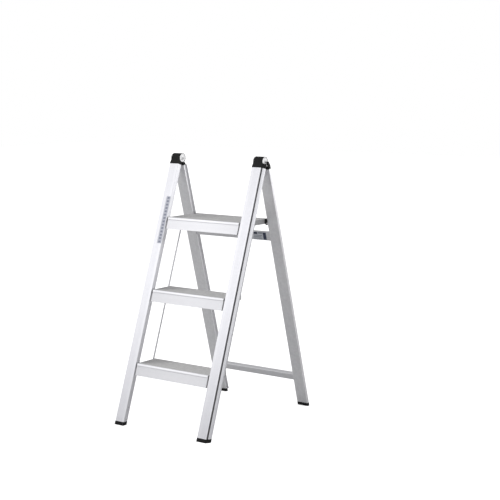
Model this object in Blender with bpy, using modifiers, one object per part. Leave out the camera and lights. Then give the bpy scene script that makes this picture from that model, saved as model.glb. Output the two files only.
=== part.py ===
"""Folding three-step aluminium step stool, in metres, standing on Z = 0 and facing -Y.

Two pairs of rails meet at a plastic hinge cap on each side. The front pair carries three treads
that pivot on pins near their noses. A flat bar on each side joins the treads, so that they rise
together. The rear pair has two crossbars and two pegs, and the top tread's catches rest on the pegs.
"""
import math

import bmesh
import bpy
from mathutils import Matrix, Vector

# Overall sizes
HINGE_HEIGHT = 0.911
HALF_WIDTH = 0.210
FRONT_LEAN = math.radians(19.5)
REAR_LEAN = math.radians(15.5)

# Rails: the hinge axis lies behind the front rails' face and ahead of the rear rails' face
AXIS_BEHIND_FRONT_FACE = 0.015
AXIS_AHEAD_OF_REAR_FACE = 0.004
WALL = 0.0014
FRONT_FACE = 0.0392
FRONT_SHOULDER = 0.0088
FRONT_WIDTH = FRONT_FACE + FRONT_SHOULDER
FRONT_DEPTH = 0.018
GROOVE_WIDTH = 0.0031
GROOVE_DEPTH = FRONT_DEPTH / 2
LIP_SETBACK = 0.0042
OUTER_SIDE = 0.006
REAR_WIDTH = 0.044
PEG_RADIUS = 0.004
PEG_ROOM = 0.0006
REAR_DEPTH = 2 * (PEG_RADIUS + WALL + PEG_ROOM)
REAR_FLANGE = 0.007
REAR_FLANGE_THICKNESS = 0.002
CORNER = 0.001

# Treads: heights of their tops, and their section
FIRST_STEP = 0.2085
STEP_PITCH = 0.2485
TREAD_NAMES = ("bottom", "middle", "top")
LOWER_TREAD_DEPTH = 0.099
EDGE_BEHIND_PEG = 0.00965
TREAD_SKIN = 0.0022
NOSE_HEIGHT = 0.0085
NOSE_OVERHANG = 0.0016
APRON_HEIGHT = 0.0405
APRON_RETURN = 0.006
REAR_FLAP = 0.018
END_CAP = 0.0012
BOSS_DEPTH = 0.003
TREAD_GAP = 0.0045
PIVOT_BACK = 0.009
PIVOT_DOWN = 0.006
PIVOT_RADIUS = 0.0025
PIVOT_BOSS = 0.0050

# Link bars between the treads
LINK_REACH = LOWER_TREAD_DEPTH - 0.021
LINK_DROP = 0.0065
LINK_WIDTH = 0.007
LINK_THICKNESS = 0.002
LINK_PIN_RADIUS = 0.002
LINK_PLAY = 0.0007

# Hinge caps, their pivots and discs
BARREL_MARGIN = 0.002
BARREL_RADIUS = AXIS_BEHIND_FRONT_FACE + BARREL_MARGIN
BARREL_BACK = 0.0018
BROW = 0.005
TONGUE_RADIUS = BARREL_RADIUS / 2 - 0.0005
CHEEK = FRONT_FACE / 4
CAP_LEG = 0.009
CAP_STAGGER = 0.004
FRONT_CAP_DROP = BARREL_RADIUS + CAP_LEG
REAR_CAP_DROP = FRONT_CAP_DROP + CAP_STAGGER
FRONT_COLLAR = 0.0026
WEB_TOP = 0.0095
WEB_FALL = 0.0045
REAR_COLLAR = 0.0075
HINGE_PIN_RADIUS = 0.004
HINGE_HEAD_RADIUS = 0.0055
HINGE_HEAD = 0.001
DISC_RADIUS = BARREL_RADIUS - 0.0025
DISC_THICKNESS = 0.0014
EAR_THICKNESS = 0.0052
SPIGOT_LENGTH = 0.022

# Crossbars of the rear frame: height of their upper edges above the floor, height, depth
UPPER_BAR_BELOW_STEP = 0.0484
CROSSBARS = {"upper": (FIRST_STEP + 2 * STEP_PITCH - UPPER_BAR_BELOW_STEP, 0.0325, 0.010),
             "lower": (0.1194, 0.0223, 0.020)}
CROSSBAR_SETBACK = 0.002

# Pegs that hold up the top tread
PEG_BITE = 0.0072
PEG_HEIGHT = FIRST_STEP + 2 * STEP_PITCH - 0.0155
CATCH_THICKNESS = 0.0085
CATCH_LENGTH = 0.026
CATCH_DEPTH = 0.0235
CATCH_CHAMFER = 0.00325
CATCH_MOUTH = 130

# Feet and their rivets
FOOT_HEIGHT = 0.0117
FOOT_PLUG = 0.070
FOOT_RIVETS = (0.020, 0.060)
RIVET_RADIUS = 0.0018
RIVET_HEAD_RADIUS = 0.003
RIVET_HEAD = 0.001
RIVET_LENGTH = 0.008
RIVET_CROWN = 0.7

GAP = 0.0003
OVERRUN = 0.05
BARREL_STEPS = 40
SIDES = {"left": -1, "right": 1}

# Places that follow from the sizes
FOLD_ANGLE = FRONT_LEAN + REAR_LEAN
REAR_BACK = AXIS_AHEAD_OF_REAR_FACE + REAR_DEPTH
FRONT_TOE = AXIS_BEHIND_FRONT_FACE / math.cos(FRONT_LEAN) + HINGE_HEIGHT * math.tan(FRONT_LEAN)
REAR_HEEL = REAR_BACK / math.cos(REAR_LEAN) + HINGE_HEIGHT * math.tan(REAR_LEAN)
HINGE = Vector((0, (FRONT_TOE - REAR_HEEL) / 2, HINGE_HEIGHT))
FRONT_INNER = HALF_WIDTH - FRONT_WIDTH
REAR_INNER = HALF_WIDTH - REAR_WIDTH
TREAD_HALF = FRONT_INNER - TREAD_GAP
FRONT_LENGTH = (HINGE_HEIGHT + AXIS_BEHIND_FRONT_FACE) / math.cos(FRONT_LEAN)
REAR_LENGTH = (HINGE_HEIGHT + REAR_BACK) / math.cos(REAR_LEAN)

SIDE_ON = Matrix(((0, 0, 1, 0), (1, 0, 0, 0), (0, 1, 0, 0), (0, 0, 0, 1)))


def new_collection(name):
    """A collection linked into the scene."""
    collection = bpy.data.collections.new(name)
    bpy.context.scene.collection.children.link(collection)
    return collection


def new_material(name, colour, roughness, metallic):
    """A Principled material of one colour, which is plenty for the working model."""
    material = bpy.data.materials.new(name)
    material.use_nodes = True
    shader = material.node_tree.nodes["Principled BSDF"]
    shader.inputs["Base Color"].default_value = (*colour, 1)
    shader.inputs["Roughness"].default_value = roughness
    shader.inputs["Metallic"].default_value = metallic
    return material


def clean_up(mesh):
    """Join the doubled edges of a filled curve, drop the fill's slivers and face outward."""
    work = bmesh.new()
    work.from_mesh(mesh)
    bmesh.ops.remove_doubles(work, verts=work.verts, dist=0.00001)
    bmesh.ops.dissolve_limit(work, angle_limit=math.radians(0.5), verts=work.verts,
                             edges=work.edges)
    bmesh.ops.recalc_face_normals(work, faces=work.faces)
    work.to_mesh(mesh)
    work.free()


def plate(name, outlines, thickness):
    """A flat outline, with any inner outlines as holes, centred on its own XY plane."""
    curve = bpy.data.curves.new(name, "CURVE")
    curve.dimensions = "2D"
    curve.fill_mode = "BOTH"
    curve.extrude = thickness / 2
    for outline in outlines:
        spline = curve.splines.new("POLY")
        spline.points.add(len(outline) - 1)
        spline.use_cyclic_u = True
        for point, (across, along) in zip(spline.points, outline):
            point.co = (across, along, 0, 1)
    source = bpy.data.objects.new(name + "_outline", curve)
    mesh = bpy.data.meshes.new_from_object(source)
    bpy.data.objects.remove(source)
    bpy.data.curves.remove(curve)
    mesh.name = name
    clean_up(mesh)
    return bpy.data.objects.new(name, mesh)


def side_plate(name, outlines, low, high):
    """A plate whose outline is drawn in Y and Z and whose thickness runs from X = low to high."""
    item = plate(name, outlines, abs(high - low))
    item.data.transform(Matrix.Translation(((low + high) / 2, 0, 0)) @ SIDE_ON)
    return item


def block(name, low, high):
    """A box between two opposite corners."""
    low, high = Vector(low), Vector(high)
    work = bmesh.new()
    bmesh.ops.create_cube(work, size=1)
    bmesh.ops.scale(work, vec=high - low, verts=work.verts)
    bmesh.ops.translate(work, vec=(high + low) / 2, verts=work.verts)
    mesh = bpy.data.meshes.new(name)
    work.to_mesh(mesh)
    work.free()
    return bpy.data.objects.new(name, mesh)


def rods(name, bars, low, high, segments=24):
    """Round bars along X, one for each ((y, z), radius), as one mesh."""
    work = bmesh.new()
    lying = Matrix.Rotation(math.pi / 2, 4, "Y")
    for (across, up), radius in bars:
        place = Matrix.Translation(((low + high) / 2, across, up)) @ lying
        bmesh.ops.create_cone(work, cap_ends=True, segments=segments, radius1=radius,
                              radius2=radius, depth=abs(high - low), matrix=place)
    mesh = bpy.data.meshes.new(name)
    work.to_mesh(mesh)
    work.free()
    return bpy.data.objects.new(name, mesh)


def turned(name, profile, segments=24):
    """A solid turned about the X axis from (x, radius) points that start and end on the axis."""
    mesh = bpy.data.meshes.new(name)
    forward = profile if profile[0][0] > profile[-1][0] else profile[::-1]
    points = [(x, radius, 0) for x, radius in forward]
    mesh.from_pydata(points, [(i, i + 1) for i in range(len(points) - 1)], [])
    item = bpy.data.objects.new(name, mesh)
    screw = item.modifiers.new("turn", "SCREW")
    screw.axis = "X"
    screw.steps = segments
    screw.render_steps = segments
    screw.use_merge_vertices = True
    screw.merge_threshold = 0.00001
    return item


def keep(item, material, parent):
    """Put a finished piece in the stool's collection, with its material, under its frame."""
    PARTS.objects.link(item)
    item.data.materials.clear()
    item.data.materials.append(material)
    item.parent = parent
    return item


def combine(item, tool, operation):
    """Join, cut or intersect a piece with a helper, which goes into the cutters' collection."""
    CUTTERS.objects.link(tool)
    tool.parent = item.parent
    tool.hide_render = True
    tool.display_type = "WIRE"
    step = item.modifiers.new(operation.lower() + "_" + tool.name, "BOOLEAN")
    step.operation = operation
    step.solver = "EXACT"
    step.object = tool


def smooth_round_faces(item):
    """Shade a round piece smooth while its sharp edges stay sharp."""
    item.data.shade_smooth()
    work = bmesh.new()
    work.from_mesh(item.data)
    for edge in work.edges:
        edge.smooth = len(edge.link_faces) == 2 and edge.calc_face_angle() < math.radians(40)
    work.to_mesh(item.data)
    work.free()


def arc(centre, radius, start, end, steps):
    """Points along an arc, angles in degrees, anticlockwise from the first axis."""
    angles = [math.radians(start + (end - start) * i / steps) for i in range(steps + 1)]
    return [(centre[0] + radius * math.cos(a), centre[1] + radius * math.sin(a)) for a in angles]


def rounded(corners, radius, steps=3):
    """A polygon with every corner replaced by an arc of the given radius."""
    outline = []
    count = len(corners)
    for i in range(count):
        corner = Vector(corners[i])
        before = (Vector(corners[i - 1]) - corner).normalized()
        after = (Vector(corners[(i + 1) % count]) - corner).normalized()
        half = before.angle(after) / 2
        reach = radius / math.tan(half)
        centre = corner + (before + after).normalized() * radius / math.sin(half)
        first = corner + before * reach - centre
        turn = first.angle_signed(corner + after * reach - centre)
        for step in range(steps + 1):
            spoke = first.copy()
            spoke.rotate(Matrix.Rotation(-turn * step / steps, 2))
            outline.append(tuple(centre + spoke))
    return outline


def sided(outline, side, inner):
    """Turn a section drawn outward from a rail's inner face into the stool's own X."""
    return [(side * (inner + outward), depth) for outward, depth in outline]


def rail_blank(name, outlines, top, bottom):
    """A rail's section drawn out along its own -Z, from top to bottom below the hinge axis."""
    item = plate(name, outlines, bottom - top)
    item.data.transform(Matrix.Translation((0, 0, -(top + bottom) / 2)))
    return item


def world_slab(name, low, high):
    """A wide box between two heights above the floor, for cuts that are level on the stool."""
    reach = HINGE_HEIGHT + HALF_WIDTH
    return block(name, (-reach, -reach, low), (reach, reach, high))


def level_cut(item, name, low, high, operation, frame):
    """Cut a leaning piece with a slab that stays level with the floor."""
    slab = world_slab(name, low, high)
    slab.data.transform(frame.matrix_basis.inverted())
    combine(item, slab, operation)


def front_section():
    """Outline and hollow of a front rail: a groove behind its face, and a lip that widens back."""
    face = -AXIS_BEHIND_FRONT_FACE
    back = face + FRONT_DEPTH
    shoulder = back - OUTER_SIDE
    groove_end = FRONT_FACE + GROOVE_WIDTH
    floor = face + GROOVE_DEPTH
    outer = [(0, face), (FRONT_FACE, face), (FRONT_FACE, floor), (groove_end, floor),
             (groove_end, face + LIP_SETBACK), (FRONT_WIDTH, shoulder), (FRONT_WIDTH, back),
             (0, back)]
    hollow = [(WALL, face + WALL), (FRONT_FACE - WALL, face + WALL),
              (FRONT_FACE - WALL, floor + WALL), (FRONT_WIDTH - 2 * WALL, floor + WALL),
              (FRONT_WIDTH - WALL, shoulder + WALL), (FRONT_WIDTH - WALL, back - WALL),
              (WALL, back - WALL)]
    return rounded(outer, CORNER / 2), hollow


def front_sole():
    """Outline of a front rail without its groove, for the collar above it and the foot below."""
    face = -AXIS_BEHIND_FRONT_FACE
    back = face + FRONT_DEPTH
    return rounded([(0, face), (FRONT_FACE, face), (FRONT_WIDTH, back - OUTER_SIDE),
                    (FRONT_WIDTH, back), (0, back)], CORNER)


def rear_sole():
    """Outline of a rear rail without its flange, for its foot."""
    return rounded([(0, AXIS_AHEAD_OF_REAR_FACE), (REAR_WIDTH, AXIS_AHEAD_OF_REAR_FACE),
                    (REAR_WIDTH, REAR_BACK), (0, REAR_BACK)], CORNER)


def rear_section():
    """Outline and hollow of a rear rail, with the flange on its inner edge at the back."""
    face = AXIS_AHEAD_OF_REAR_FACE
    flange = REAR_BACK - REAR_FLANGE_THICKNESS
    outer = [(0, face), (REAR_WIDTH, face), (REAR_WIDTH, REAR_BACK), (-REAR_FLANGE, REAR_BACK),
             (-REAR_FLANGE, flange), (0, flange)]
    hollow = [(WALL, face + WALL), (REAR_WIDTH - WALL, face + WALL),
              (REAR_WIDTH - WALL, REAR_BACK - WALL), (WALL, REAR_BACK - WALL)]
    return rounded(outer, CORNER / 2), hollow


def front_plane(height):
    """Y of the front rails' face at a height, measured from the hinge axis."""
    setback = AXIS_BEHIND_FRONT_FACE / math.cos(FRONT_LEAN)
    return -setback - (HINGE_HEIGHT - height) * math.tan(FRONT_LEAN)


def step_height(index):
    """Height of a tread's top."""
    return FIRST_STEP + index * STEP_PITCH


def nose_place(index):
    """World place of the middle of a tread's upper front edge."""
    height = step_height(index)
    return Vector((0, HINGE.y + front_plane(height), height))


def pivot_offset():
    """From a tread's nose to its pivot: back into the rail's depth and down along the rail."""
    back = Vector((0, math.cos(FRONT_LEAN), -math.sin(FRONT_LEAN)))
    down = Vector((0, -math.sin(FRONT_LEAN), -math.cos(FRONT_LEAN)))
    return back * PIVOT_BACK + down * PIVOT_DOWN


def pivot_place(index):
    """World place of a tread's pivot axis."""
    return nose_place(index) + pivot_offset()


def in_front_frame(place):
    """A world place as (y, z) in the leaning front frame."""
    local = FRONT.matrix_basis.inverted() @ place
    return (local.y, local.z)


def rail_depth_middle():
    """Middle of a front rail's depth, in the front frame."""
    return -AXIS_BEHIND_FRONT_FACE + FRONT_DEPTH / 2


def rear_depth_middle():
    """Middle of a rear rail's depth, in the rear frame."""
    return AXIS_AHEAD_OF_REAR_FACE + REAR_DEPTH / 2


def rivet_centres(lean, middle):
    """(y, z) of a foot's rivets in its leaning frame, from their heights above the floor."""
    return [(middle, (height - HINGE_HEIGHT - middle * math.sin(lean)) / math.cos(lean))
            for height in FOOT_RIVETS]


def front_rail(name, side):
    """A hollow front rail with holes for the tread pivots and the foot's rivets."""
    outer, hollow = front_section()
    outlines = [sided(outer, side, FRONT_INNER), sided(hollow, side, FRONT_INNER)]
    item = keep(rail_blank("front_rail_" + name, outlines, FRONT_CAP_DROP, FRONT_LENGTH + OVERRUN),
                ALUMINIUM, FRONT)
    level_cut(item, "front_rail_end_" + name, -2 * OVERRUN, FOOT_HEIGHT + GAP, "DIFFERENCE", FRONT)
    low = side * (FRONT_INNER - WALL)
    high = side * (FRONT_INNER + 2 * WALL)
    holes = [(in_front_frame(pivot_place(index)), PIVOT_RADIUS + GAP)
             for index in range(len(TREAD_NAMES))]
    holes += [(centre, RIVET_RADIUS + GAP)
              for centre in rivet_centres(-FRONT_LEAN, rail_depth_middle())]
    combine(item, rods("front_rail_holes_" + name, holes, low, high), "DIFFERENCE")


def rear_rail(name, side):
    """A hollow rear rail with holes for the peg and rivets, its flange cut at the crossbars."""
    outer, hollow = rear_section()
    outlines = [sided(outer, side, REAR_INNER), sided(hollow, side, REAR_INNER)]
    item = keep(rail_blank("rear_rail_" + name, outlines, REAR_CAP_DROP, REAR_LENGTH + OVERRUN),
                ALUMINIUM, REAR)
    level_cut(item, "rear_rail_end_" + name, -2 * OVERRUN, FOOT_HEIGHT + GAP, "DIFFERENCE", REAR)
    low = side * (REAR_INNER - WALL)
    high = side * (REAR_INNER + 2 * WALL)
    holes = [(peg_centre(), PEG_RADIUS + GAP)]
    holes += [(centre, RIVET_RADIUS + GAP)
              for centre in rivet_centres(REAR_LEAN, rear_depth_middle())]
    combine(item, rods("rear_rail_holes_" + name, holes, low, high), "DIFFERENCE")
    for bar, (_, height, _) in CROSSBARS.items():
        top = crossbar_drop(bar)
        edges = (side * REAR_INNER, side * (REAR_INNER - 2 * REAR_FLANGE))
        notch = block("notch_" + bar + "_" + name,
                      (min(edges), REAR_BACK - 2 * REAR_FLANGE_THICKNESS, -top - height - GAP),
                      (max(edges), REAR_BACK + REAR_FLANGE_THICKNESS, -top + GAP))
        combine(item, notch, "DIFFERENCE")


def peg_centre():
    """(y, z) of the peg in the rear frame, in the middle of the rear rail's depth."""
    middle = rear_depth_middle()
    drop = HINGE_HEIGHT + middle * math.sin(REAR_LEAN) - PEG_HEIGHT
    return (middle, -drop / math.cos(REAR_LEAN))


def crossbar_drop(name):
    """Distance of a crossbar's upper front edge below the hinge axis, along the rear rails."""
    face = AXIS_AHEAD_OF_REAR_FACE + CROSSBAR_SETBACK
    return (HINGE_HEIGHT + face * math.sin(REAR_LEAN) - CROSSBARS[name][0]) / math.cos(REAR_LEAN)


def crossbar(name):
    """A hollow crossbar between the rear rails."""
    _, height, depth = CROSSBARS[name]
    top = crossbar_drop(name)
    face = AXIS_AHEAD_OF_REAR_FACE + CROSSBAR_SETBACK
    half = REAR_INNER - GAP
    outer = rounded([(face, -top - height), (face + depth, -top - height), (face + depth, -top),
                     (face, -top)], CORNER)
    hollow = [(face + WALL, -top - height + WALL), (face + depth - WALL, -top - height + WALL),
              (face + depth - WALL, -top - WALL), (face + WALL, -top - WALL)]
    keep(side_plate(name + "_crossbar", [outer, hollow], -half, half), ALUMINIUM, REAR)


def fork_outline(bottom):
    """Side outline of a fork: a leg that narrows upward, a rounded brow and a barrel behind."""
    face = -AXIS_BEHIND_FRONT_FACE
    back = face + FRONT_DEPTH
    start = -math.degrees(math.acos((back - BARREL_BACK) / BARREL_RADIUS))
    barrel = arc((BARREL_BACK, 0), BARREL_RADIUS, start, 90, BARREL_STEPS)
    brow = arc((BARREL_BACK, BROW), BARREL_RADIUS - BROW, 95, 180, BARREL_STEPS // 2)
    leg = [(brow_front(), -BROW), (face, FRONT_COLLAR - bottom), (face, -bottom), (back, -bottom)]
    return barrel + brow + leg


def brow_front():
    """Foremost depth of a fork above its leg."""
    return BARREL_BACK + BROW - BARREL_RADIUS


def fork_slot():
    """Side outline of the slot of a fork: round in front, open to the rear and downward."""
    swing = TONGUE_RADIUS + 2 * GAP
    back = FRONT_DEPTH - AXIS_BEHIND_FRONT_FACE
    return arc((0, 0), swing, 90, 270, BARREL_STEPS) + [
        (back, -swing), (back, -OVERRUN), (OVERRUN, -OVERRUN), (OVERRUN, swing)]


def web_outline(bottom):
    """Side outline of the web that rises from a fork's collar in front of the outer disc."""
    face = -AXIS_BEHIND_FRONT_FACE
    back = face + FRONT_DEPTH
    share = (WEB_TOP - BROW) / (bottom - FRONT_COLLAR - BROW)
    front = brow_front() + (face - brow_front()) * share
    return [(back, -bottom - GAP), (back, -WEB_TOP - WEB_FALL), (front, -WEB_TOP),
            (face - GAP, FRONT_COLLAR - bottom), (face - GAP, -bottom - GAP)]


def tongue_outline(bottom):
    """Side outline of a tongue: a small barrel about the hinge axis and a leg behind it."""
    face = AXIS_AHEAD_OF_REAR_FACE
    back = REAR_BACK - GAP
    end = 360 - math.degrees(math.acos(face / TONGUE_RADIUS))
    return arc((0, 0), TONGUE_RADIUS, 90, end, BARREL_STEPS) + [
        (face, -bottom), (back, -bottom), (back, -TONGUE_RADIUS / 2)]


def hinge_x(side, distance):
    """X of a plane of a hinge cap, measured outward from the front rail's inner face."""
    return side * (FRONT_INNER + distance)


def front_cap(name, side):
    """The fork of a hinge: two cheeks over a collar, an outer web and a spigot into the rail."""
    face = -AXIS_BEHIND_FRONT_FACE
    back = face + FRONT_DEPTH
    bottom = FRONT_CAP_DROP - GAP
    item = keep(side_plate("front_hinge_cap_" + name, [fork_outline(bottom)], hinge_x(side, 0),
                           hinge_x(side, FRONT_FACE)), BLACK, FRONT)
    combine(item, side_plate("fork_" + name, [fork_slot()], hinge_x(side, CHEEK),
                             hinge_x(side, FRONT_FACE - CHEEK)), "DIFFERENCE")
    web = rail_blank("web_" + name, [sided(front_sole(), side, FRONT_INNER)], 0, bottom)
    combine(item, web, "UNION")
    combine(web, side_plate("web_shape_" + name, [web_outline(bottom)],
                            hinge_x(side, FRONT_FACE - CHEEK / 2), hinge_x(side, FRONT_WIDTH + GAP)),
            "INTERSECT")
    pocket = FRONT_FACE + DISC_THICKNESS + 2 * GAP
    combine(item, rods("pocket_" + name, [((0, 0), DISC_RADIUS + GAP)],
                       hinge_x(side, FRONT_FACE - GAP / 2), hinge_x(side, pocket), 64),
            "DIFFERENCE")
    inset = WALL + GAP
    plug = [(inset, face + inset), (FRONT_FACE - inset, face + inset),
            (FRONT_FACE - inset, back - inset), (inset, back - inset)]
    combine(item, rail_blank("front_spigot_" + name, [sided(plug, side, FRONT_INNER)],
                             bottom - FRONT_COLLAR, bottom + SPIGOT_LENGTH), "UNION")
    combine(item, rods("front_bore_" + name, [((0, 0), HINGE_PIN_RADIUS + GAP)],
                       hinge_x(side, -CHEEK), hinge_x(side, FRONT_FACE + CHEEK)), "DIFFERENCE")


def rear_cap(name, side):
    """The tongue of a hinge, with its collar, its outer ear and a spigot into the rear rail."""
    face = AXIS_AHEAD_OF_REAR_FACE
    bottom = REAR_CAP_DROP - GAP
    item = keep(side_plate("rear_hinge_cap_" + name, [tongue_outline(bottom)],
                           hinge_x(side, CHEEK + GAP), hinge_x(side, FRONT_FACE - CHEEK - GAP)),
                BLACK, REAR)
    combine(item, rail_blank("rear_collar_" + name, [sided(rear_sole(), side, REAR_INNER)],
                             bottom - REAR_COLLAR, bottom), "UNION")
    peak = REAR_DEPTH / 2
    low = REAR_COLLAR / 2 - bottom
    ear = [(face, low), (REAR_BACK, low), (REAR_BACK, -3 * peak), (face + peak, -peak / 2),
           (face, -peak / 2)]
    outer = side * HALF_WIDTH
    combine(item, side_plate("ear_" + name, [ear], outer - side * EAR_THICKNESS, outer), "UNION")
    inset = WALL + GAP
    plug = [(inset, face + inset), (REAR_WIDTH - inset, face + inset),
            (REAR_WIDTH - inset, REAR_BACK - inset), (inset, REAR_BACK - inset)]
    combine(item, rail_blank("rear_spigot_" + name, [sided(plug, side, REAR_INNER)],
                             bottom - REAR_COLLAR / 2, bottom + SPIGOT_LENGTH), "UNION")
    combine(item, rods("rear_bore_" + name, [((0, 0), HINGE_PIN_RADIUS + GAP)],
                       hinge_x(side, 0), hinge_x(side, FRONT_FACE)), "DIFFERENCE")


def hinge_pin(name, side):
    """The rivet through a hinge, with a head outside each disc."""
    seat = DISC_THICKNESS + 2 * GAP
    low = -seat
    high = FRONT_FACE + seat
    profile = [(low - HINGE_HEAD, 0), (low - HINGE_HEAD, HINGE_HEAD_RADIUS - HINGE_HEAD / 2),
               (low - HINGE_HEAD / 2, HINGE_HEAD_RADIUS), (low, HINGE_HEAD_RADIUS),
               (low, HINGE_PIN_RADIUS), (high, HINGE_PIN_RADIUS), (high, HINGE_HEAD_RADIUS),
               (high + HINGE_HEAD / 2, HINGE_HEAD_RADIUS),
               (high + HINGE_HEAD, HINGE_HEAD_RADIUS - HINGE_HEAD / 2), (high + HINGE_HEAD, 0)]
    points = [(hinge_x(side, x), radius) for x, radius in profile]
    keep(turned("hinge_pin_" + name, points), STEEL, FRONT)


def hinge_discs(name, side):
    """The bright discs on both faces of a hinge."""
    places = {"inner": (-GAP - DISC_THICKNESS, -GAP),
              "outer": (FRONT_FACE + GAP, FRONT_FACE + GAP + DISC_THICKNESS)}
    rim = arc((0, 0), DISC_RADIUS, 0, 352.5, 47)
    hole = arc((0, 0), HINGE_PIN_RADIUS + GAP, 0, 348.75, 31)
    for place, (low, high) in places.items():
        disc = side_plate("hinge_disc_" + place + "_" + name, [rim, hole], hinge_x(side, low),
                          hinge_x(side, high))
        keep(disc, BRIGHT, FRONT)


def foot(kind, name, side, sole, inner, frame, length):
    """A foot: a sole as wide as the rail, and a plug that its rivets hold in the rail."""
    item = keep(rail_blank(kind + "_foot_" + name, [sided(sole, side, inner)],
                           length - 2 * OVERRUN, length + OVERRUN), RUBBER, frame)
    level_cut(item, kind + "_sole_" + name, 0, FOOT_HEIGHT, "INTERSECT", frame)
    inset = WALL + GAP
    front = kind == "front"
    face = FRONT_FACE if front else REAR_WIDTH
    near = min(point[1] for point in sole) + inset
    far = max(point[1] for point in sole) - inset
    plug = [(inset, near), (face - inset, near), (face - inset, far), (inset, far)]
    plug_top = length - FOOT_PLUG - FOOT_HEIGHT
    plug_end = length - 2 * FOOT_HEIGHT
    combine(item, rail_blank(kind + "_plug_" + name, [sided(plug, side, inner)], plug_top,
                             plug_end), "UNION")
    lean = -FRONT_LEAN if front else REAR_LEAN
    middle = rail_depth_middle() if front else rear_depth_middle()
    centres = rivet_centres(lean, middle)
    holes = [(centre, RIVET_RADIUS + GAP) for centre in centres]
    combine(item, rods(kind + "_plug_holes_" + name, holes, side * (inner - WALL),
                       side * (inner + RIVET_LENGTH + WALL)), "DIFFERENCE")
    for label, centre in zip(("lower", "upper"), centres):
        foot_rivet(kind, label, name, side, inner, frame, centre)


def foot_rivet(kind, label, name, side, inner, frame, centre):
    """A rivet from a rail's inner face into the foot's plug."""
    head = inner - GAP
    profile = [(head - RIVET_HEAD, 0), (head - RIVET_HEAD, RIVET_HEAD_RADIUS * RIVET_CROWN),
               (head - RIVET_HEAD / 2, RIVET_HEAD_RADIUS), (head, RIVET_HEAD_RADIUS),
               (head, RIVET_RADIUS), (inner + RIVET_LENGTH, RIVET_RADIUS),
               (inner + RIVET_LENGTH, 0)]
    rivet = turned(kind + "_foot_rivet_" + label + "_" + name,
                   [(side * x, radius) for x, radius in profile], 12)
    keep(rivet, STEEL, frame)
    rivet.location = (0, centre[0], centre[1])


def tread_outline(depth):
    """Side outline of a tread, from its nose: skin, nose, leaning apron and rear flap."""
    slope = math.tan(FRONT_LEAN)
    face = NOSE_OVERHANG
    inside = NOSE_OVERHANG + TREAD_SKIN
    base = APRON_HEIGHT
    return [(0, 0), (depth, 0), (depth, -REAR_FLAP), (depth - TREAD_SKIN, -REAR_FLAP),
            (depth - TREAD_SKIN, -TREAD_SKIN), (inside - TREAD_SKIN * slope, -TREAD_SKIN),
            (inside - (base - TREAD_SKIN) * slope, TREAD_SKIN - base),
            (inside + APRON_RETURN - (base - TREAD_SKIN) * slope, TREAD_SKIN - base),
            (inside + APRON_RETURN - base * slope, -base), (face - base * slope, -base),
            (face - NOSE_HEIGHT * slope, -NOSE_HEIGHT), (-NOSE_HEIGHT * slope, -NOSE_HEIGHT)]


def end_cap_outline(depth):
    """Side outline of a tread's end cap. Folded, the peg lies behind its strip along the apron."""
    slope = math.tan(FRONT_LEAN)
    face = NOSE_OVERHANG
    strip = NOSE_OVERHANG + APRON_RETURN
    base = APRON_HEIGHT
    return [(0, 0), (depth, 0), (depth, -REAR_FLAP), (strip - REAR_FLAP * slope, -REAR_FLAP),
            (strip - base * slope, -base), (face - base * slope, -base),
            (face - NOSE_HEIGHT * slope, -NOSE_HEIGHT), (-NOSE_HEIGHT * slope, -NOSE_HEIGHT)]


def tread_depth(index):
    """Depth of a tread. The top one reaches just behind the peg that its catches rest on."""
    if TREAD_NAMES[index] != "top":
        return LOWER_TREAD_DEPTH
    across, up = peg_centre()
    peg_place = REAR.matrix_basis @ Vector((0, across, up))
    return peg_place.y - nose_place(index).y + EDGE_BEHIND_PEG


def shifted(outline, across, up):
    """An outline moved by a distance along each of its axes."""
    return [(first + across, second + up) for first, second in outline]


def peg_in_tread(index):
    """(y, z) of the peg measured from a tread's pivot."""
    across, up = peg_centre()
    place = REAR.matrix_basis @ Vector((0, across, up)) - pivot_place(index)
    return (place.y, place.z)


def catch_notch(centre):
    """The mouth of a catch: round over the peg, open downward and forward."""
    radius = PEG_RADIUS + GAP
    mouth = CATCH_DEPTH + PEG_RADIUS
    return arc(centre, radius, 0, CATCH_MOUTH, 10) + [
        (centre[0] - mouth, centre[1] - mouth), (centre[0] + radius, centre[1] - mouth)]


def end_cap(tread, index, name, side, depth, frame):
    """A black end cap with the pivot's boss, and the top tread's catch on its rear corner."""
    start = -pivot_offset()
    outer = side * TREAD_HALF
    joint = outer - side * END_CAP
    item = side_plate(tread + "_end_cap_" + name, [shifted(end_cap_outline(depth), start.y, start.z)],
                      joint, outer)
    keep(item, BLACK, frame)
    boss = joint - side * BOSS_DEPTH
    combine(item, rods(tread + "_boss_" + name, [((0, 0), PIVOT_BOSS)], boss,
                       joint + side * GAP), "UNION")
    if tread == "top":
        top = start.z - TREAD_SKIN - GAP
        end = start.y + depth - TREAD_SKIN - GAP
        body = [(end - CATCH_LENGTH, start.z - REAR_FLAP + CATCH_CHAMFER),
                (end - CATCH_LENGTH, top), (end, top), (end, start.z - CATCH_DEPTH),
                (end - CATCH_LENGTH / 2, start.z - CATCH_DEPTH)]
        inside = outer - side * CATCH_THICKNESS
        combine(item, side_plate("catch_" + name, [body], inside, outer), "UNION")
        notch = catch_notch(peg_in_tread(index))
        combine(item, side_plate("notch_" + name, [notch], inside - side * WALL,
                                 outer + side * WALL), "DIFFERENCE")
    bores = [((0, 0), PIVOT_RADIUS + GAP), ((LINK_REACH, -LINK_DROP), LINK_PIN_RADIUS + GAP)]
    combine(item, rods(tread + "_bores_" + name, bores, boss - side * WALL, outer + side * WALL),
            "DIFFERENCE")


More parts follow.
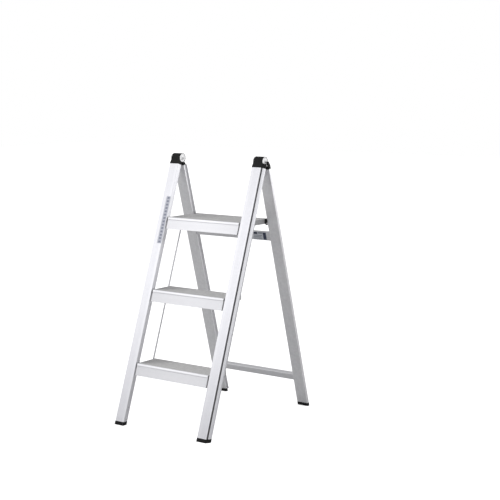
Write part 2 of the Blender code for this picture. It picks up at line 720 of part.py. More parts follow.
def tread(index):
    """A tread with its end caps and the pins of its links, all on its own pivot."""
    name = TREAD_NAMES[index]
    depth = tread_depth(index)
    frame = bpy.data.objects.new(name + "_tread_frame", None)
    PARTS.objects.link(frame)
    frame.location = pivot_place(index)
    start = -pivot_offset()
    half = TREAD_HALF - END_CAP - GAP
    outline = shifted(tread_outline(depth), start.y, start.z)
    keep(side_plate(name + "_tread", [outline], -half, half), STEP, frame)
    for label, side in SIDES.items():
        end_cap(name, index, label, side, depth, frame)
        link_pin(name, label, side, frame)
        pivot_pin(name, index, label, side)


def pivot_pin(tread_name, index, name, side):
    """The pin that a tread turns on, fixed in the front rail's inner wall."""
    boss = TREAD_HALF - END_CAP - BOSS_DEPTH
    head = boss - GAP
    end = FRONT_INNER + 2 * WALL
    head_radius = PIVOT_BOSS - GAP
    profile = [(head - RIVET_HEAD, 0), (head - RIVET_HEAD, head_radius * RIVET_CROWN),
               (head - RIVET_HEAD / 2, head_radius), (head, head_radius), (head, PIVOT_RADIUS),
               (end, PIVOT_RADIUS), (end, 0)]
    pin = turned(tread_name + "_pivot_pin_" + name, [(side * x, radius) for x, radius in profile], 16)
    keep(pin, STEEL, FRONT)
    across, up = in_front_frame(pivot_place(index))
    pin.location = (0, across, up)


def link_planes():
    """Inner and outer distance of a link bar from the stool's middle."""
    inner = TREAD_HALF + 2 * GAP
    return inner, inner + LINK_THICKNESS


def link_pin(tread_name, name, side, frame):
    """The pin that joins a tread's end cap to the link bar."""
    inner, outer = link_planes()
    end = TREAD_HALF - END_CAP - GAP
    head = outer + GAP
    head_radius = LINK_WIDTH / 2 - GAP
    profile = [(end, 0), (end, LINK_PIN_RADIUS), (head, LINK_PIN_RADIUS), (head, head_radius),
               (head + RIVET_HEAD / 2, head_radius), (head + RIVET_HEAD / 2, 0)]
    pin = turned(tread_name + "_link_pin_" + name, [(side * x, radius) for x, radius in profile], 12)
    keep(pin, STEEL, frame)
    pin.location = (0, LINK_REACH, -LINK_DROP)


def link_bar(name, side):
    """The flat bar that joins the three treads, hung from the top tread's pin."""
    inner, outer = link_planes()
    half = LINK_WIDTH / 2
    spacing = STEP_PITCH / math.cos(FRONT_LEAN)
    length = spacing * (len(TREAD_NAMES) - 1)
    outline = arc((0, 0), half, 0, 180, 10) + arc((0, -length), half, 180, 360, 10)
    holes = [arc((0, -spacing * i), LINK_PIN_RADIUS + LINK_PLAY, 0, 345, 23)
             for i in range(len(TREAD_NAMES))]
    bar = side_plate("link_bar_" + name, [outline] + holes, side * inner, side * outer)
    keep(bar, ALUMINIUM, None)
    top = pivot_place(len(TREAD_NAMES) - 1)
    bar.location = (0, top.y + LINK_REACH, top.z - LINK_DROP)
    bar.rotation_euler = (-FRONT_LEAN, 0, 0)


def peg(name, side):
    """The peg on a rear rail that the top tread's catch rests on."""
    start = REAR_INNER + 2 * WALL
    end = TREAD_HALF - PEG_BITE
    profile = [(start, 0), (start, PEG_RADIUS), (end + CORNER, PEG_RADIUS),
               (end, PEG_RADIUS - CORNER), (end, 0)]
    item = turned("catch_peg_" + name, [(side * x, radius) for x, radius in profile])
    keep(item, STEEL, REAR)
    item.location = (0, *peg_centre())


def leaning_frame(name, lean):
    """An empty on the hinge axis whose own -Z runs down a pair of rails."""
    frame = bpy.data.objects.new(name, None)
    PARTS.objects.link(frame)
    frame.matrix_basis = Matrix.Translation(HINGE) @ Matrix.Rotation(lean, 4, "X")
    return frame


for old in list(bpy.data.objects):
    bpy.data.objects.remove(old)

PARTS = new_collection("step_stool")
CUTTERS = new_collection("step_stool_cutters")
ALUMINIUM = new_material("satin_aluminium", (0.78, 0.78, 0.80), 0.38, 0.9)
STEP = new_material("ribbed_tread", (0.62, 0.61, 0.60), 0.5, 0.85)
BRIGHT = new_material("bright_disc", (0.86, 0.86, 0.86), 0.25, 0.9)
STEEL = new_material("zinc_steel", (0.55, 0.55, 0.56), 0.35, 1.0)
BLACK = new_material("black_plastic", (0.02, 0.02, 0.02), 0.45, 0.0)
RUBBER = new_material("black_rubber", (0.03, 0.03, 0.03), 0.75, 0.0)
FRONT = leaning_frame("front_frame_axis", -FRONT_LEAN)
REAR = leaning_frame("rear_frame_axis", REAR_LEAN)

for side_name, side_sign in SIDES.items():
    front_rail(side_name, side_sign)
    rear_rail(side_name, side_sign)
    front_cap(side_name, side_sign)
    rear_cap(side_name, side_sign)
    hinge_pin(side_name, side_sign)
    hinge_discs(side_name, side_sign)
    foot("front", side_name, side_sign, front_sole(), FRONT_INNER, FRONT, FRONT_LENGTH)
    foot("rear", side_name, side_sign, rear_sole(), REAR_INNER, REAR, REAR_LENGTH)
    link_bar(side_name, side_sign)
    peg(side_name, side_sign)
for bar_name in CROSSBARS:
    crossbar(bar_name)
for step_index in range(len(TREAD_NAMES)):
    tread(step_index)
for finished in PARTS.objects:
    if finished.type == "MESH" and len(finished.data.polygons) > 0:
        smooth_round_faces(finished)
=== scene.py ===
import math

import bpy
import numpy as np
from mathutils import Matrix, Vector


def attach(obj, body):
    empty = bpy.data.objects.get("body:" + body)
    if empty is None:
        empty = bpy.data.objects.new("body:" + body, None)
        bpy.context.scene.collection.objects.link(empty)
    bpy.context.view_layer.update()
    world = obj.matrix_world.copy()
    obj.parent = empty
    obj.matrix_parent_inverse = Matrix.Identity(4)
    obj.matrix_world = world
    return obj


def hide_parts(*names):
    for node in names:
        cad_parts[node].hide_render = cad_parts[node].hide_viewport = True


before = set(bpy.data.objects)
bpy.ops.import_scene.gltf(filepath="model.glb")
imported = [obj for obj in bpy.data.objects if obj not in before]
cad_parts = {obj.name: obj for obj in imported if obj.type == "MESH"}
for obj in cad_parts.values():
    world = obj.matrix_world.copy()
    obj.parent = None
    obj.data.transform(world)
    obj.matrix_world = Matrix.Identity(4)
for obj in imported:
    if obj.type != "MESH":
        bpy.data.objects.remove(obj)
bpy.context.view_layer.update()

# ---------------------------------------------------------------------------------------------
# Studio. The stool stands on a matt pale floor that runs off into a white backdrop.
# Two far white walls light it evenly, one at the front left and one behind at the right, with
# a small softbox above. The rest of the room is grey, which is what the metal mirrors.
BACKDROP_WHITE = (1.0, 1.0, 1.0, 1)
ROOM_WHITE = (1.0, 1.0, 1.01, 1)
ROOM_LEVEL = 0.46
ROOM_LIGHTS = (((-0.585, -0.706, 0.399), 0.66, 0.25), ((0.585, 0.80, 0.05), 1.05, 0.30),
               ((0.94, -0.25, 0.24), 0.50, 0.55))
FLOOR_SEEN = (0.93, 0.93, 0.93, 1)
FLOOR_MIRRORED = (0.50, 0.50, 0.50, 1)
FLOOR_LIFT = 0.55
FLOOR_REACH = 14.0
FLOOR_CELLS = 8

CAMERA_AZIMUTH = math.radians(36.2108)
CAMERA_DROP = math.radians(7.7358)
CAMERA_ROLL = math.radians(-0.138)
CAMERA_DISTANCE = 4.3226
CAMERA_TARGET = Vector((0.1647, -0.0024, 0.6073))
CAMERA_LENS = 90.51


def nodes_of(owner):
    """An empty node tree of a world or material, and a function that adds a node to it."""
    owner.use_nodes = True
    tree = owner.node_tree
    tree.nodes.clear()
    return tree, tree.nodes.new, tree.links.new


def made(add, kind, **values):
    """A node of a kind with some of its inputs set, where a name's _ stands for a space."""
    node = add(kind)
    for label, value in values.items():
        node.inputs[label.replace("_", " ")].default_value = value
    return node


def computing(add, operation, kind="ShaderNodeMath"):
    """A node that does one operation of arithmetic, on numbers or, by its kind, on vectors."""
    node = add(kind)
    node.operation = operation
    return node


def studio_room_level(add, link):
    """Brightness of the room by direction: a base level, plus for each far light its strength
    times how far the direction's cosine to it has risen above its edge, smoothly."""
    place = add("ShaderNodeTexCoord")
    total = None
    for direction, strength, edge in ROOM_LIGHTS:
        toward = computing(add, "DOT_PRODUCT", "ShaderNodeVectorMath")
        toward.inputs[1].default_value = direction
        glow = made(add, "ShaderNodeMapRange", From_Min=edge, To_Max=strength)
        glow.interpolation_type = "SMOOTHSTEP"
        link(place.outputs["Generated"], toward.inputs[0])
        link(toward.outputs["Value"], glow.inputs["Value"])
        summed = computing(add, "ADD")
        summed.inputs[1].default_value = ROOM_LEVEL
        link(glow.outputs[0], summed.inputs[0])
        if total is not None:
            link(total, summed.inputs[1])
        total = summed.outputs[0]
    return total


def studio_world():
    """A backdrop that is white to look at and a room with far lights to be lit by."""
    world = bpy.data.worlds.new("studio_room")
    bpy.context.scene.world = world
    tree, add, link = nodes_of(world)
    path = add("ShaderNodeLightPath")
    seen = made(add, "ShaderNodeBackground", Color=BACKDROP_WHITE)
    room = made(add, "ShaderNodeBackground", Color=ROOM_WHITE)
    link(studio_room_level(add, link), room.inputs["Strength"])
    mix = add("ShaderNodeMixShader")
    out = add("ShaderNodeOutputWorld")
    link(path.outputs["Is Camera Ray"], mix.inputs[0])
    link(room.outputs[0], mix.inputs[1])
    link(seen.outputs[0], mix.inputs[2])
    link(mix.outputs[0], out.inputs["Surface"])


def studio_floor():
    """A square grid on z = 0, whose points are every pair of two evenly spaced lines."""
    line = np.linspace(-FLOOR_REACH, FLOOR_REACH, FLOOR_CELLS + 1)
    x, y = np.meshgrid(line, line)
    points = np.stack([x, y, np.zeros_like(x)], axis=-1).reshape(-1, 3)
    first = np.arange(FLOOR_CELLS * (FLOOR_CELLS + 1)).reshape(FLOOR_CELLS, -1)[:, :-1].ravel()
    up = FLOOR_CELLS + 1
    faces = np.stack([first, first + 1, first + up + 1, first + up], axis=-1)
    mesh = bpy.data.meshes.new("studio_floor")
    mesh.from_pydata(points.tolist(), [], faces.tolist())
    floor = bpy.data.objects.new("studio_floor", mesh)
    bpy.context.scene.collection.objects.link(floor)
    material = bpy.data.materials.new("studio_floor")
    tree, add, link = nodes_of(material)
    path = add("ShaderNodeLightPath")
    seen = made(add, "ShaderNodeBsdfDiffuse", Color=FLOOR_SEEN)
    mirrored = made(add, "ShaderNodeBsdfDiffuse", Color=FLOOR_MIRRORED)
    lift = made(add, "ShaderNodeEmission", Color=BACKDROP_WHITE, Strength=FLOOR_LIFT)
    bright = add("ShaderNodeAddShader")
    mix = add("ShaderNodeMixShader")
    out = add("ShaderNodeOutputMaterial")
    link(seen.outputs[0], bright.inputs[0])
    link(lift.outputs[0], bright.inputs[1])
    link(path.outputs["Is Camera Ray"], mix.inputs[0])
    link(mirrored.outputs[0], mix.inputs[1])
    link(bright.outputs[0], mix.inputs[2])
    link(mix.outputs[0], out.inputs["Surface"])
    mesh.materials.append(material)


def aimed(place, target, roll=0.0):
    """A placed turn whose own -Z looks from place to target, with a roll about that line."""
    back = (place - target).normalized()
    right = Vector((0, 0, 1)).cross(back).normalized()
    up = back.cross(right)
    turned_right = right * math.cos(roll) + up * math.sin(roll)
    turned_up = up * math.cos(roll) - right * math.sin(roll)
    turn = Matrix((turned_right, turned_up, back)).transposed().to_4x4()
    return Matrix.Translation(place) @ turn


def softbox(name, place, target, width, height, power):
    """A rectangular studio light that looks at a target."""
    light = bpy.data.lights.new(name, "AREA")
    light.shape = "RECTANGLE"
    light.size = width
    light.size_y = height
    light.energy = power
    item = bpy.data.objects.new(name, light)
    bpy.context.scene.collection.objects.link(item)
    item.matrix_world = aimed(Vector(place), Vector(target))


def studio_camera():
    """The camera, from its azimuth, its drop below level, its roll and its distance."""
    lens = bpy.data.cameras.new("studio_camera")
    lens.lens = CAMERA_LENS
    lens.sensor_width = 36.0
    lens.clip_end = 60.0
    back = Vector((math.sin(CAMERA_AZIMUTH) * math.cos(CAMERA_DROP),
                   -math.cos(CAMERA_AZIMUTH) * math.cos(CAMERA_DROP), math.sin(CAMERA_DROP)))
    item = bpy.data.objects.new("studio_camera", lens)
    bpy.context.scene.collection.objects.link(item)
    item.matrix_world = aimed(CAMERA_TARGET + back * CAMERA_DISTANCE, CAMERA_TARGET, CAMERA_ROLL)
    bpy.context.scene.camera = item


studio_world()
studio_floor()
studio_camera()
softbox("key_softbox", (-2.3, -2.8, 2.2), (0, 0, 0.5), 2.6, 2.2, 8)
softbox("top_softbox", (0.4, -0.4, 3.2), (0, 0, 0.4), 1.8, 1.8, 4)
bpy.context.scene.view_settings.view_transform = "Standard"

# ---------------------------------------------------------------------------------------------
# Front rails. Each is a hollow aluminium extrusion with a deep groove near its outer edge and
# fine flutes on its face, satin anodised, cut level at the foot and fixed into the hinge cap.
# The groove's faces are coloured dark aluminium: painted shade for the dim slot.
# The left one has a printed decal near its top, a grey ground with plain darker bars.
HINGE_HEIGHT = 0.911
HINGE_Y = 0.034634
FRONT_LEAN = math.radians(19.5)
FRONT_INNER = 0.162
FRONT_WIDTH = 0.048
FRONT_FACE = 0.0392
FRONT_NEAR = -0.015
FRONT_FAR = 0.003
GROOVE_WIDTH = 0.0031
GROOVE_DEPTH = 0.009
LIP_SETBACK = 0.0042
SHOULDER = -0.003
RAIL_FOOT = 0.012
FRONT_RAIL_TOP = -0.0260
FLUTES = (0.0135, 0.0180, 0.0225, 0.0270, 0.0315)
FLUTE_WIDTH = 0.0016
FLUTE_DEPTH = 0.00022
SIDES = {"left": -1, "right": 1}


def rounded_outline(corners, radius, steps=4):
    """A polygon whose corners are arcs. A corner's circle stands off it along its bisector by
    radius / sin(half its angle), and its points turn evenly from one side to the other."""
    corner = np.array(corners, float)
    radius = np.broadcast_to(np.array(radius, float), len(corner))[:, None]
    back = np.roll(corner, 1, axis=0) - corner
    ahead = np.roll(corner, -1, axis=0) - corner
    back /= np.linalg.norm(back, axis=1, keepdims=True)
    ahead /= np.linalg.norm(ahead, axis=1, keepdims=True)
    half = np.arccos(np.clip((back * ahead).sum(1, keepdims=True), -1, 1)) / 2
    middle = back + ahead
    middle /= np.linalg.norm(middle, axis=1, keepdims=True)
    centre = corner + middle * radius / np.sin(half)
    spoke = corner + back * radius / np.tan(half) - centre
    swing = np.sign(back[:, :1] * ahead[:, 1:] - back[:, 1:] * ahead[:, :1]) * (np.pi - 2 * half)
    turn = -swing * np.linspace(0, 1, steps + 1)[None, :]
    x = spoke[:, :1] * np.cos(turn) - spoke[:, 1:] * np.sin(turn)
    y = spoke[:, :1] * np.sin(turn) + spoke[:, 1:] * np.cos(turn)
    return (np.stack([x, y], axis=-1) + centre[:, None]).reshape(-1, 2)


def drawn_in(outline, insets):
    """The outline once for each inset, every point moved inward along its mitre, which is the
    sum of its two edges' normals over one plus their product."""
    edge = np.roll(outline, -1, axis=0) - outline
    edge /= np.maximum(np.linalg.norm(edge, axis=1, keepdims=True), 1e-12)
    normal = np.stack([-edge[:, 1], edge[:, 0]], axis=-1)
    before = np.roll(normal, 1, axis=0)
    mitre = (normal + before) / np.maximum(1 + (normal * before).sum(1, keepdims=True), 0.3)
    area = np.sum(outline[:, 0] * np.roll(outline[:, 1], -1) - np.roll(outline[:, 0], -1)
                  * outline[:, 1])
    return outline[None] + np.sign(area) * mitre[None] * np.asarray(insets, float)[:, None, None]


def eased_ends(low, high, radius, steps=3):
    """Stations along a line as (place, inset): a quarter circle of the radius at each end."""
    turn = np.linspace(0, np.pi / 2, steps + 1)
    run = radius * (1 - np.cos(turn))
    inset = radius * (1 - np.sin(turn))
    return (np.concatenate([low + run, high - run[::-1]]),
            np.concatenate([inset, inset[::-1]]))


def add_piece(name, points, faces, sharp=40):
    """A mesh object from points and faces, smooth except across edges sharper than an angle."""
    mesh = bpy.data.meshes.new(name)
    mesh.from_pydata(points.tolist(), [], faces)
    mesh.shade_smooth()
    mesh.set_sharp_from_angle(angle=math.radians(sharp))
    piece = bpy.data.objects.new(name, mesh)
    bpy.context.scene.collection.objects.link(piece)
    return piece


def skin_faces(rows, around):
    """Quads between neighbouring rows of a closed tube and one many-sided face on each end."""
    first = np.arange((rows - 1) * around).reshape(rows - 1, around)
    beside = np.roll(first, -1, axis=1)
    quads = np.stack([first, beside, beside + around, first + around], axis=-1).reshape(-1, 4)
    return quads.tolist() + [list(range(around))[::-1],
                             list(range((rows - 1) * around, rows * around))]


def outward(points, faces):
    """The faces, all turned round if the volume that they enclose comes out negative: the sum of
    each triangle's first corner times the cross product of its other two."""
    fans = [(f[0], f[i], f[i + 1]) for f in faces for i in range(1, len(f) - 1)]
    a, b, c = points[np.array(fans)].transpose(1, 0, 2)
    volume = np.einsum("ij,ij->", a, np.cross(b, c))
    return faces if volume > 0 else [f[::-1] for f in faces]


def skin(name, rows, sharp=40):
    """A closed piece from rows of points, shaped (rows, points round, 3)."""
    points = rows.reshape(-1, 3)
    return add_piece(name, points, outward(points, skin_faces(*rows.shape[:2])), sharp)


def points_at(x, y, z):
    """Points from their three coordinates, each of which may hold for many."""
    return np.stack(np.broadcast_arrays(x, y, z), axis=-1)


def leaning(x, depth, along, lean):
    """Points of a frame that leans about the hinge axis: x stays, depth and the distance along
    the rails turn by the lean and start from the hinge."""
    y = HINGE_Y + depth * math.cos(lean) - along * math.sin(lean)
    z = HINGE_HEIGHT + depth * math.sin(lean) + along * math.cos(lean)
    return points_at(x, y, z)


def level_at(height, depth, lean):
    """Distance along a leaning rail at which a point of some depth is at a height."""
    return (height - HINGE_HEIGHT - depth * math.sin(lean)) / math.cos(lean)


def rail_rows(outline, side, inner, top, foot, lean, edge=0.0005):
    """A rail's section drawn down its length. Its top is square, its foot is level, and a point
    at share s of the way down lies at top + s (foot - top) of its own depth."""
    along, inset = eased_ends(0.0, 1.0, edge)
    section = drawn_in(outline, inset)
    depth = section[..., 1]
    end = level_at(foot, depth, lean)
    length = np.abs(end - top).T
    share = np.where(along < 0.5, along / length, 1 - (1 - along) / length).T
    return leaning(side * (inner + section[..., 0]), depth, top + share * (end - top), lean)


def fluted_face(start, end, level, places, width, depth, inward):
    """Points along a straight face from start to end with a shallow V-bottomed flute at each
    place: down over a quarter of its width, flat for half, and up again."""
    across = np.array([-0.5, -0.25, 0.25, 0.5]) * width
    down = np.array([0, 1, 1, 0]) * depth * inward
    u = (np.array(places)[:, None] + across).ravel()
    v = level + np.tile(down, len(places))
    return [(start, level)] + list(zip(u, v)) + [(end, level)]


def front_outline():
    """Section of a front rail: u outward from its inner face, v from front to back."""
    groove_end = FRONT_FACE + GROOVE_WIDTH
    floor = FRONT_NEAR + GROOVE_DEPTH
    face = fluted_face(0, FRONT_FACE, FRONT_NEAR, FLUTES, FLUTE_WIDTH, FLUTE_DEPTH, 1)
    rest = [(FRONT_FACE, floor), (groove_end, floor), (groove_end, FRONT_NEAR + LIP_SETBACK),
            (FRONT_WIDTH, SHOULDER), (FRONT_WIDTH, FRONT_FAR), (0, FRONT_FAR)]
    soft = [0.0011] + [0.00012] * (len(face) - 2) + [0.0007]
    soft += [0.0006, 0.0006, 0.0005, 0.0010, 0.0010, 0.0010]
    return rounded_outline(face + rest, soft)


def group(name, inputs, outputs):
    """A shader node group with named sockets, given as (name, kind, default) and (name, kind),
    and its two functions and its input and output nodes."""
    tree = bpy.data.node_groups.new(name, "ShaderNodeTree")
    for label, kind, default in inputs:
        socket = tree.interface.new_socket(name=label, in_out="INPUT", socket_type=kind)
        if default is not None:
            socket.default_value = default
    for label, kind in outputs:
        tree.interface.new_socket(name=label, in_out="OUTPUT", socket_type=kind)
    add = tree.nodes.new
    return tree, add, tree.links.new, add("NodeGroupInput"), add("NodeGroupOutput")


def drawn_streaks_group():
    """Die lines of an extrusion. Noise is stretched along the drawing direction at two widths,
    and the broad and the fine streaks are added in a set proportion."""
    tree, add, link, into, out = group("drawn_streaks", [("Vector", "NodeSocketVector", None),
                            ("Stretch", "NodeSocketVector", (300, 300, 2)),
                            ("Fine Share", "NodeSocketFloat", 0.5)],
                            [("Streaks", "NodeSocketFloat")])
    stretched = computing(add, "MULTIPLY", "ShaderNodeVectorMath")
    broad = made(add, "ShaderNodeTexNoise", Scale=0.35, Detail=2)
    fine = made(add, "ShaderNodeTexNoise", Scale=2.4, Detail=3)
    both = add("ShaderNodeMix")
    link(into.outputs["Vector"], stretched.inputs[0])
    link(into.outputs["Stretch"], stretched.inputs[1])
    link(stretched.outputs[0], broad.inputs["Vector"])
    link(stretched.outputs[0], fine.inputs["Vector"])
    link(into.outputs["Fine Share"], both.inputs[0])
    link(broad.outputs[0], both.inputs[2])
    link(fine.outputs[0], both.inputs[3])
    link(both.outputs[0], out.inputs["Streaks"])
    return tree


def edge_wear_group():
    """Where a piece is rubbed: the sharpness of its edges, broken up by a patchy noise."""
    tree, add, link, into, out = group("edge_wear", [("Vector", "NodeSocketVector", None),
                            ("Patch Scale", "NodeSocketFloat", 60.0),
                            ("Reach", "NodeSocketFloat", 0.08)],
                            [("Wear", "NodeSocketFloat")])
    shape = add("ShaderNodeNewGeometry")
    limit = add("ShaderNodeMath")
    limit.inputs[0].default_value = 0.5
    rubbed = made(add, "ShaderNodeMapRange", From_Min=0.5)
    patchy = made(add, "ShaderNodeTexNoise", Detail=4)
    worn = computing(add, "MULTIPLY")
    link(into.outputs["Reach"], limit.inputs[1])
    link(shape.outputs["Pointiness"], rubbed.inputs["Value"])
    link(limit.outputs[0], rubbed.inputs["From Max"])
    link(into.outputs["Vector"], patchy.inputs["Vector"])
    link(into.outputs["Patch Scale"], patchy.inputs["Scale"])
    link(rubbed.outputs[0], worn.inputs[0])
    link(patchy.outputs[0], worn.inputs[1])
    link(worn.outputs[0], out.inputs["Wear"])
    return tree


def handling_group():
    """Faint cloudy marks from hands and cloths: a broad noise with its middle tones spread."""
    tree, add, link, into, out = group("handling_marks", [("Vector", "NodeSocketVector", None),
                            ("Size", "NodeSocketFloat", 9.0)], [("Marks", "NodeSocketFloat")])
    cloud = made(add, "ShaderNodeTexNoise", Detail=5, Roughness=0.6)
    spread = made(add, "ShaderNodeMapRange", From_Min=0.35, From_Max=0.70)
    link(into.outputs["Vector"], cloud.inputs["Vector"])
    link(into.outputs["Size"], cloud.inputs["Scale"])
    link(cloud.outputs[0], spread.inputs["Value"])
    link(spread.outputs[0], out.inputs["Marks"])
    return tree


def label_group():
    """A printed patch: 1 inside the box |p - centre| < half on every axis, 0 outside it."""
    tree, add, link, into, out = group("printed_patch", [("Vector", "NodeSocketVector", None),
                            ("Centre", "NodeSocketVector", None),
                            ("Half", "NodeSocketVector", None)],
                            [("Inside", "NodeSocketFloat")])
    steps = [computing(add, operation, "ShaderNodeVectorMath")
             for operation in ("SUBTRACT", "ABSOLUTE", "DIVIDE")]
    parts = add("ShaderNodeSeparateXYZ")
    link(into.outputs["Vector"], steps[0].inputs[0])
    link(into.outputs["Centre"], steps[0].inputs[1])
    link(steps[0].outputs[0], steps[1].inputs[0])
    link(steps[1].outputs[0], steps[2].inputs[0])
    link(into.outputs["Half"], steps[2].inputs[1])
    link(steps[2].outputs[0], parts.inputs[0])
    largest = computing(add, "MAXIMUM")
    largest_of_all = computing(add, "MAXIMUM")
    inside = computing(add, "LESS_THAN")
    inside.inputs[1].default_value = 1.0
    link(parts.outputs[0], largest.inputs[0])
    link(parts.outputs[1], largest.inputs[1])
    link(largest.outputs[0], largest_of_all.inputs[0])
    link(parts.outputs[2], largest_of_all.inputs[1])
    link(largest_of_all.outputs[0], inside.inputs[0])
    link(inside.outputs[0], out.inputs["Inside"])
    return tree


STREAKS = drawn_streaks_group()
LABEL = label_group()
EDGE_WEAR = edge_wear_group()
HANDLING = handling_group()


def place_group(add, link, vector, tree, **values):
    """A node that uses a group, with its vector linked and some of its inputs set."""
    node = add("ShaderNodeGroup")
    node.node_tree = tree
    for label, value in values.items():
        node.inputs[label.replace("_", " ").title()].default_value = value
    link(vector, node.inputs["Vector"])
    return node


def blended(add, link, first, second, share):
    """A colour mixed from two, each a colour or another node's output, by a share."""
    mix = add("ShaderNodeMix")
    mix.data_type = "RGBA"
    ends = ((mix.inputs["A"], first), (mix.inputs["B"], second), (mix.inputs[0], share))
    for socket, value in ends:
        if isinstance(value, bpy.types.NodeSocket):
            link(value, socket)
        else:
            socket.default_value = value
    return mix.outputs["Result"]


def ranged(add, link, value, low, high):
    """A value from 0 to 1 spread between two limits."""
    node = made(add, "ShaderNodeMapRange", To_Min=low, To_Max=high)
    link(value, node.inputs["Value"])
    return node.outputs[0]


def surfaced(add, link, colour, roughness, height, strength, distance, **fixed):
    """A surface whose colour, roughness and relief come from other nodes' outputs, the relief by
    its strength and distance, and whose other inputs are fixed."""
    shader = made(add, "ShaderNodeBsdfPrincipled", **fixed)
    relief = made(add, "ShaderNodeBump", Strength=strength, Distance=distance)
    out = add("ShaderNodeOutputMaterial")
    link(colour, shader.inputs["Base Color"])
    link(roughness, shader.inputs["Roughness"])
    link(height, relief.inputs["Height"])
    link(relief.outputs[0], shader.inputs["Normal"])
    link(shader.outputs[0], out.inputs["Surface"])
    return shader


def upright_place(x, depth, height, lean):
    """A point of a leaning rail turned upright about the X axis, from its world height."""
    y, z = leaning(x, depth, level_at(height, depth, lean), lean)[1:]
    return (x, y * math.cos(lean) + z * math.sin(lean), z * math.cos(lean) - y * math.sin(lean))


def patch(x, heights, depth, lean, colour):
    """A printed patch between two distances x and two heights, as the centre and half size of a
    box on the upright rail, and its colour."""
    low = np.array(upright_place(x[0], depth, heights[0], lean))
    high = np.array(upright_place(x[1], depth, heights[1], lean))
    return (low + high) / 2, np.abs(high - low) / 2 + np.array([0, 0.002, 0]), colour


def anodised(name, light, dark, lean, stretch, roughness=(0.34, 0.46), metallic=0.86, bump=0.05,
             patches=()):
    """Satin anodised aluminium: streaks along the extrusion tint it and change its gloss, hands
    leave faint clouds, and edges rub brighter. Printed patches lie over it in their order, and
    the first of them is the ground that holds the others and isn't metallic."""
    material = bpy.data.materials.new(name)
    tree, add, link = nodes_of(material)
    place = add("ShaderNodeTexCoord").outputs["Object"]
    upright = made(add, "ShaderNodeVectorRotate", Angle=-lean)
    upright.rotation_type = "X_AXIS"
    link(place, upright.inputs["Vector"])
    streaks = place_group(add, link, upright.outputs[0], STREAKS, stretch=stretch,
                          fine_share=0.45)
    marks = place_group(add, link, place, HANDLING, size=7.0)
    wear = place_group(add, link, place, EDGE_WEAR, patch_scale=90.0, reach=0.10)
    streaked = blended(add, link, (*dark, 1), (*light, 1), streaks.outputs["Streaks"])
    handled = blended(add, link, streaked, tuple(c * 0.95 for c in light) + (1,),
                      ranged(add, link, marks.outputs["Marks"], 0.0, 0.35))
    worn = blended(add, link, handled, (0.93, 0.93, 0.94, 1), wear.outputs["Wear"])
    gloss = ranged(add, link, streaks.outputs["Streaks"], roughness[1], roughness[0])
    printed = []
    for centre, half, colour in patches:
        print_on = place_group(add, link, upright.outputs[0], LABEL, centre=tuple(centre),
                               half=tuple(half))
        printed.append(print_on.outputs["Inside"])
        worn = blended(add, link, worn, (*colour, 1), printed[-1])
    shader = surfaced(add, link, worn, gloss, streaks.outputs["Streaks"], bump, 0.0004,
                      Metallic=metallic)
    if printed:
        link(ranged(add, link, printed[0], metallic, 0.0), shader.inputs["Metallic"])
    return material


def second_material(piece, material, chosen):
    """Give the chosen faces, those whose centre passes a test, another material."""
    piece.data.materials.append(material)
    for face in piece.data.polygons:
        if chosen(face.center):
            face.material_index = 1


def fit(piece, material, body, slot, *nodes):
    """Give a finished piece its material and body, and let it stand for its CAD nodes."""
    piece.data.materials.append(material)
    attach(piece, body)
    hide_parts(*nodes)
    return piece


GROOVE_SLACK = 0.0002
FACE_EDGE = 0.0005


def in_groove(centre):
    """Whether a face of a front rail lies in its groove, by its place across and in depth."""
    depth = ((centre.y - HINGE_Y) * math.cos(FRONT_LEAN)
             - (centre.z - HINGE_HEIGHT) * math.sin(FRONT_LEAN))
    across = abs(centre.x) - FRONT_INNER
    beside = FRONT_FACE - GROOVE_SLACK < across < FRONT_FACE + GROOVE_WIDTH + GROOVE_SLACK
    return beside and FRONT_NEAR + FACE_EDGE < depth < 0


DECAL_X = (-0.1830, -0.1640)
DECAL_HEIGHTS = (0.6145, 0.7770)
DECAL_GREY = (0.56, 0.575, 0.64)
DECAL_DARK = (0.27, 0.29, 0.37)
DECAL_BARS = 14
BAR_SPAN = (0.22, 0.78)
BAR_X = (DECAL_X[0] + 0.005, DECAL_X[1] - 0.004)
decal = [patch(DECAL_X, DECAL_HEIGHTS, FRONT_NEAR, -FRONT_LEAN, DECAL_GREY)]
bar_pitch = (DECAL_HEIGHTS[1] - DECAL_HEIGHTS[0]) / DECAL_BARS
for i in range(DECAL_BARS):
    span = tuple(DECAL_HEIGHTS[0] + bar_pitch * (i + share) for share in BAR_SPAN)
    decal.append(patch(BAR_X, span, FRONT_NEAR, -FRONT_LEAN, DECAL_DARK))
ALONG_RAIL = (330, 330, 2.2)
FRONT_ALUMINIUM = anodised("front_rail_anodising", (0.80, 0.80, 0.835), (0.70, 0.70, 0.735),
                           -FRONT_LEAN, ALONG_RAIL, patches=decal)
# Dark aluminium for the groove's faces: painted shade, where a deep slot would be dim.
GROOVE_PAINTED_SHADE = anodised("front_groove_painted_shade", (0.34, 0.34, 0.35), (0.26, 0.26, 0.27),
                            -FRONT_LEAN, ALONG_RAIL)
for name, side in SIDES.items():
    rows = rail_rows(front_outline(), side, FRONT_INNER, FRONT_RAIL_TOP, RAIL_FOOT, -FRONT_LEAN)
    rail = fit(skin(f"front_rail_{name}_extrusion", rows), FRONT_ALUMINIUM, "front_frame",
               "satin_aluminium", f"front_rail_{name}")
    # The groove's faces take the dark painted-shade material.
    second_material(rail, GROOVE_PAINTED_SHADE, in_groove)

# ---------------------------------------------------------------------------------------------
# Rear rails. Each is a flatter hollow extrusion with a thin flange along its inner back edge,
# which is notched where the crossbars are welded in. Same satin anodising as the front.
REAR_LEAN = math.radians(15.5)
REAR_INNER = 0.166
REAR_WIDTH = 0.044
REAR_NEAR = 0.004
REAR_FAR = 0.016
REAR_FLANGE = 0.007
REAR_FLANGE_THICKNESS = 0.002
REAR_RAIL_TOP = -0.0300
FLANGE_NOTCHES = ((-0.2647, -0.2978), (-0.8229, -0.8458))
REAR_FLUTES = (0.0085, 0.0355)


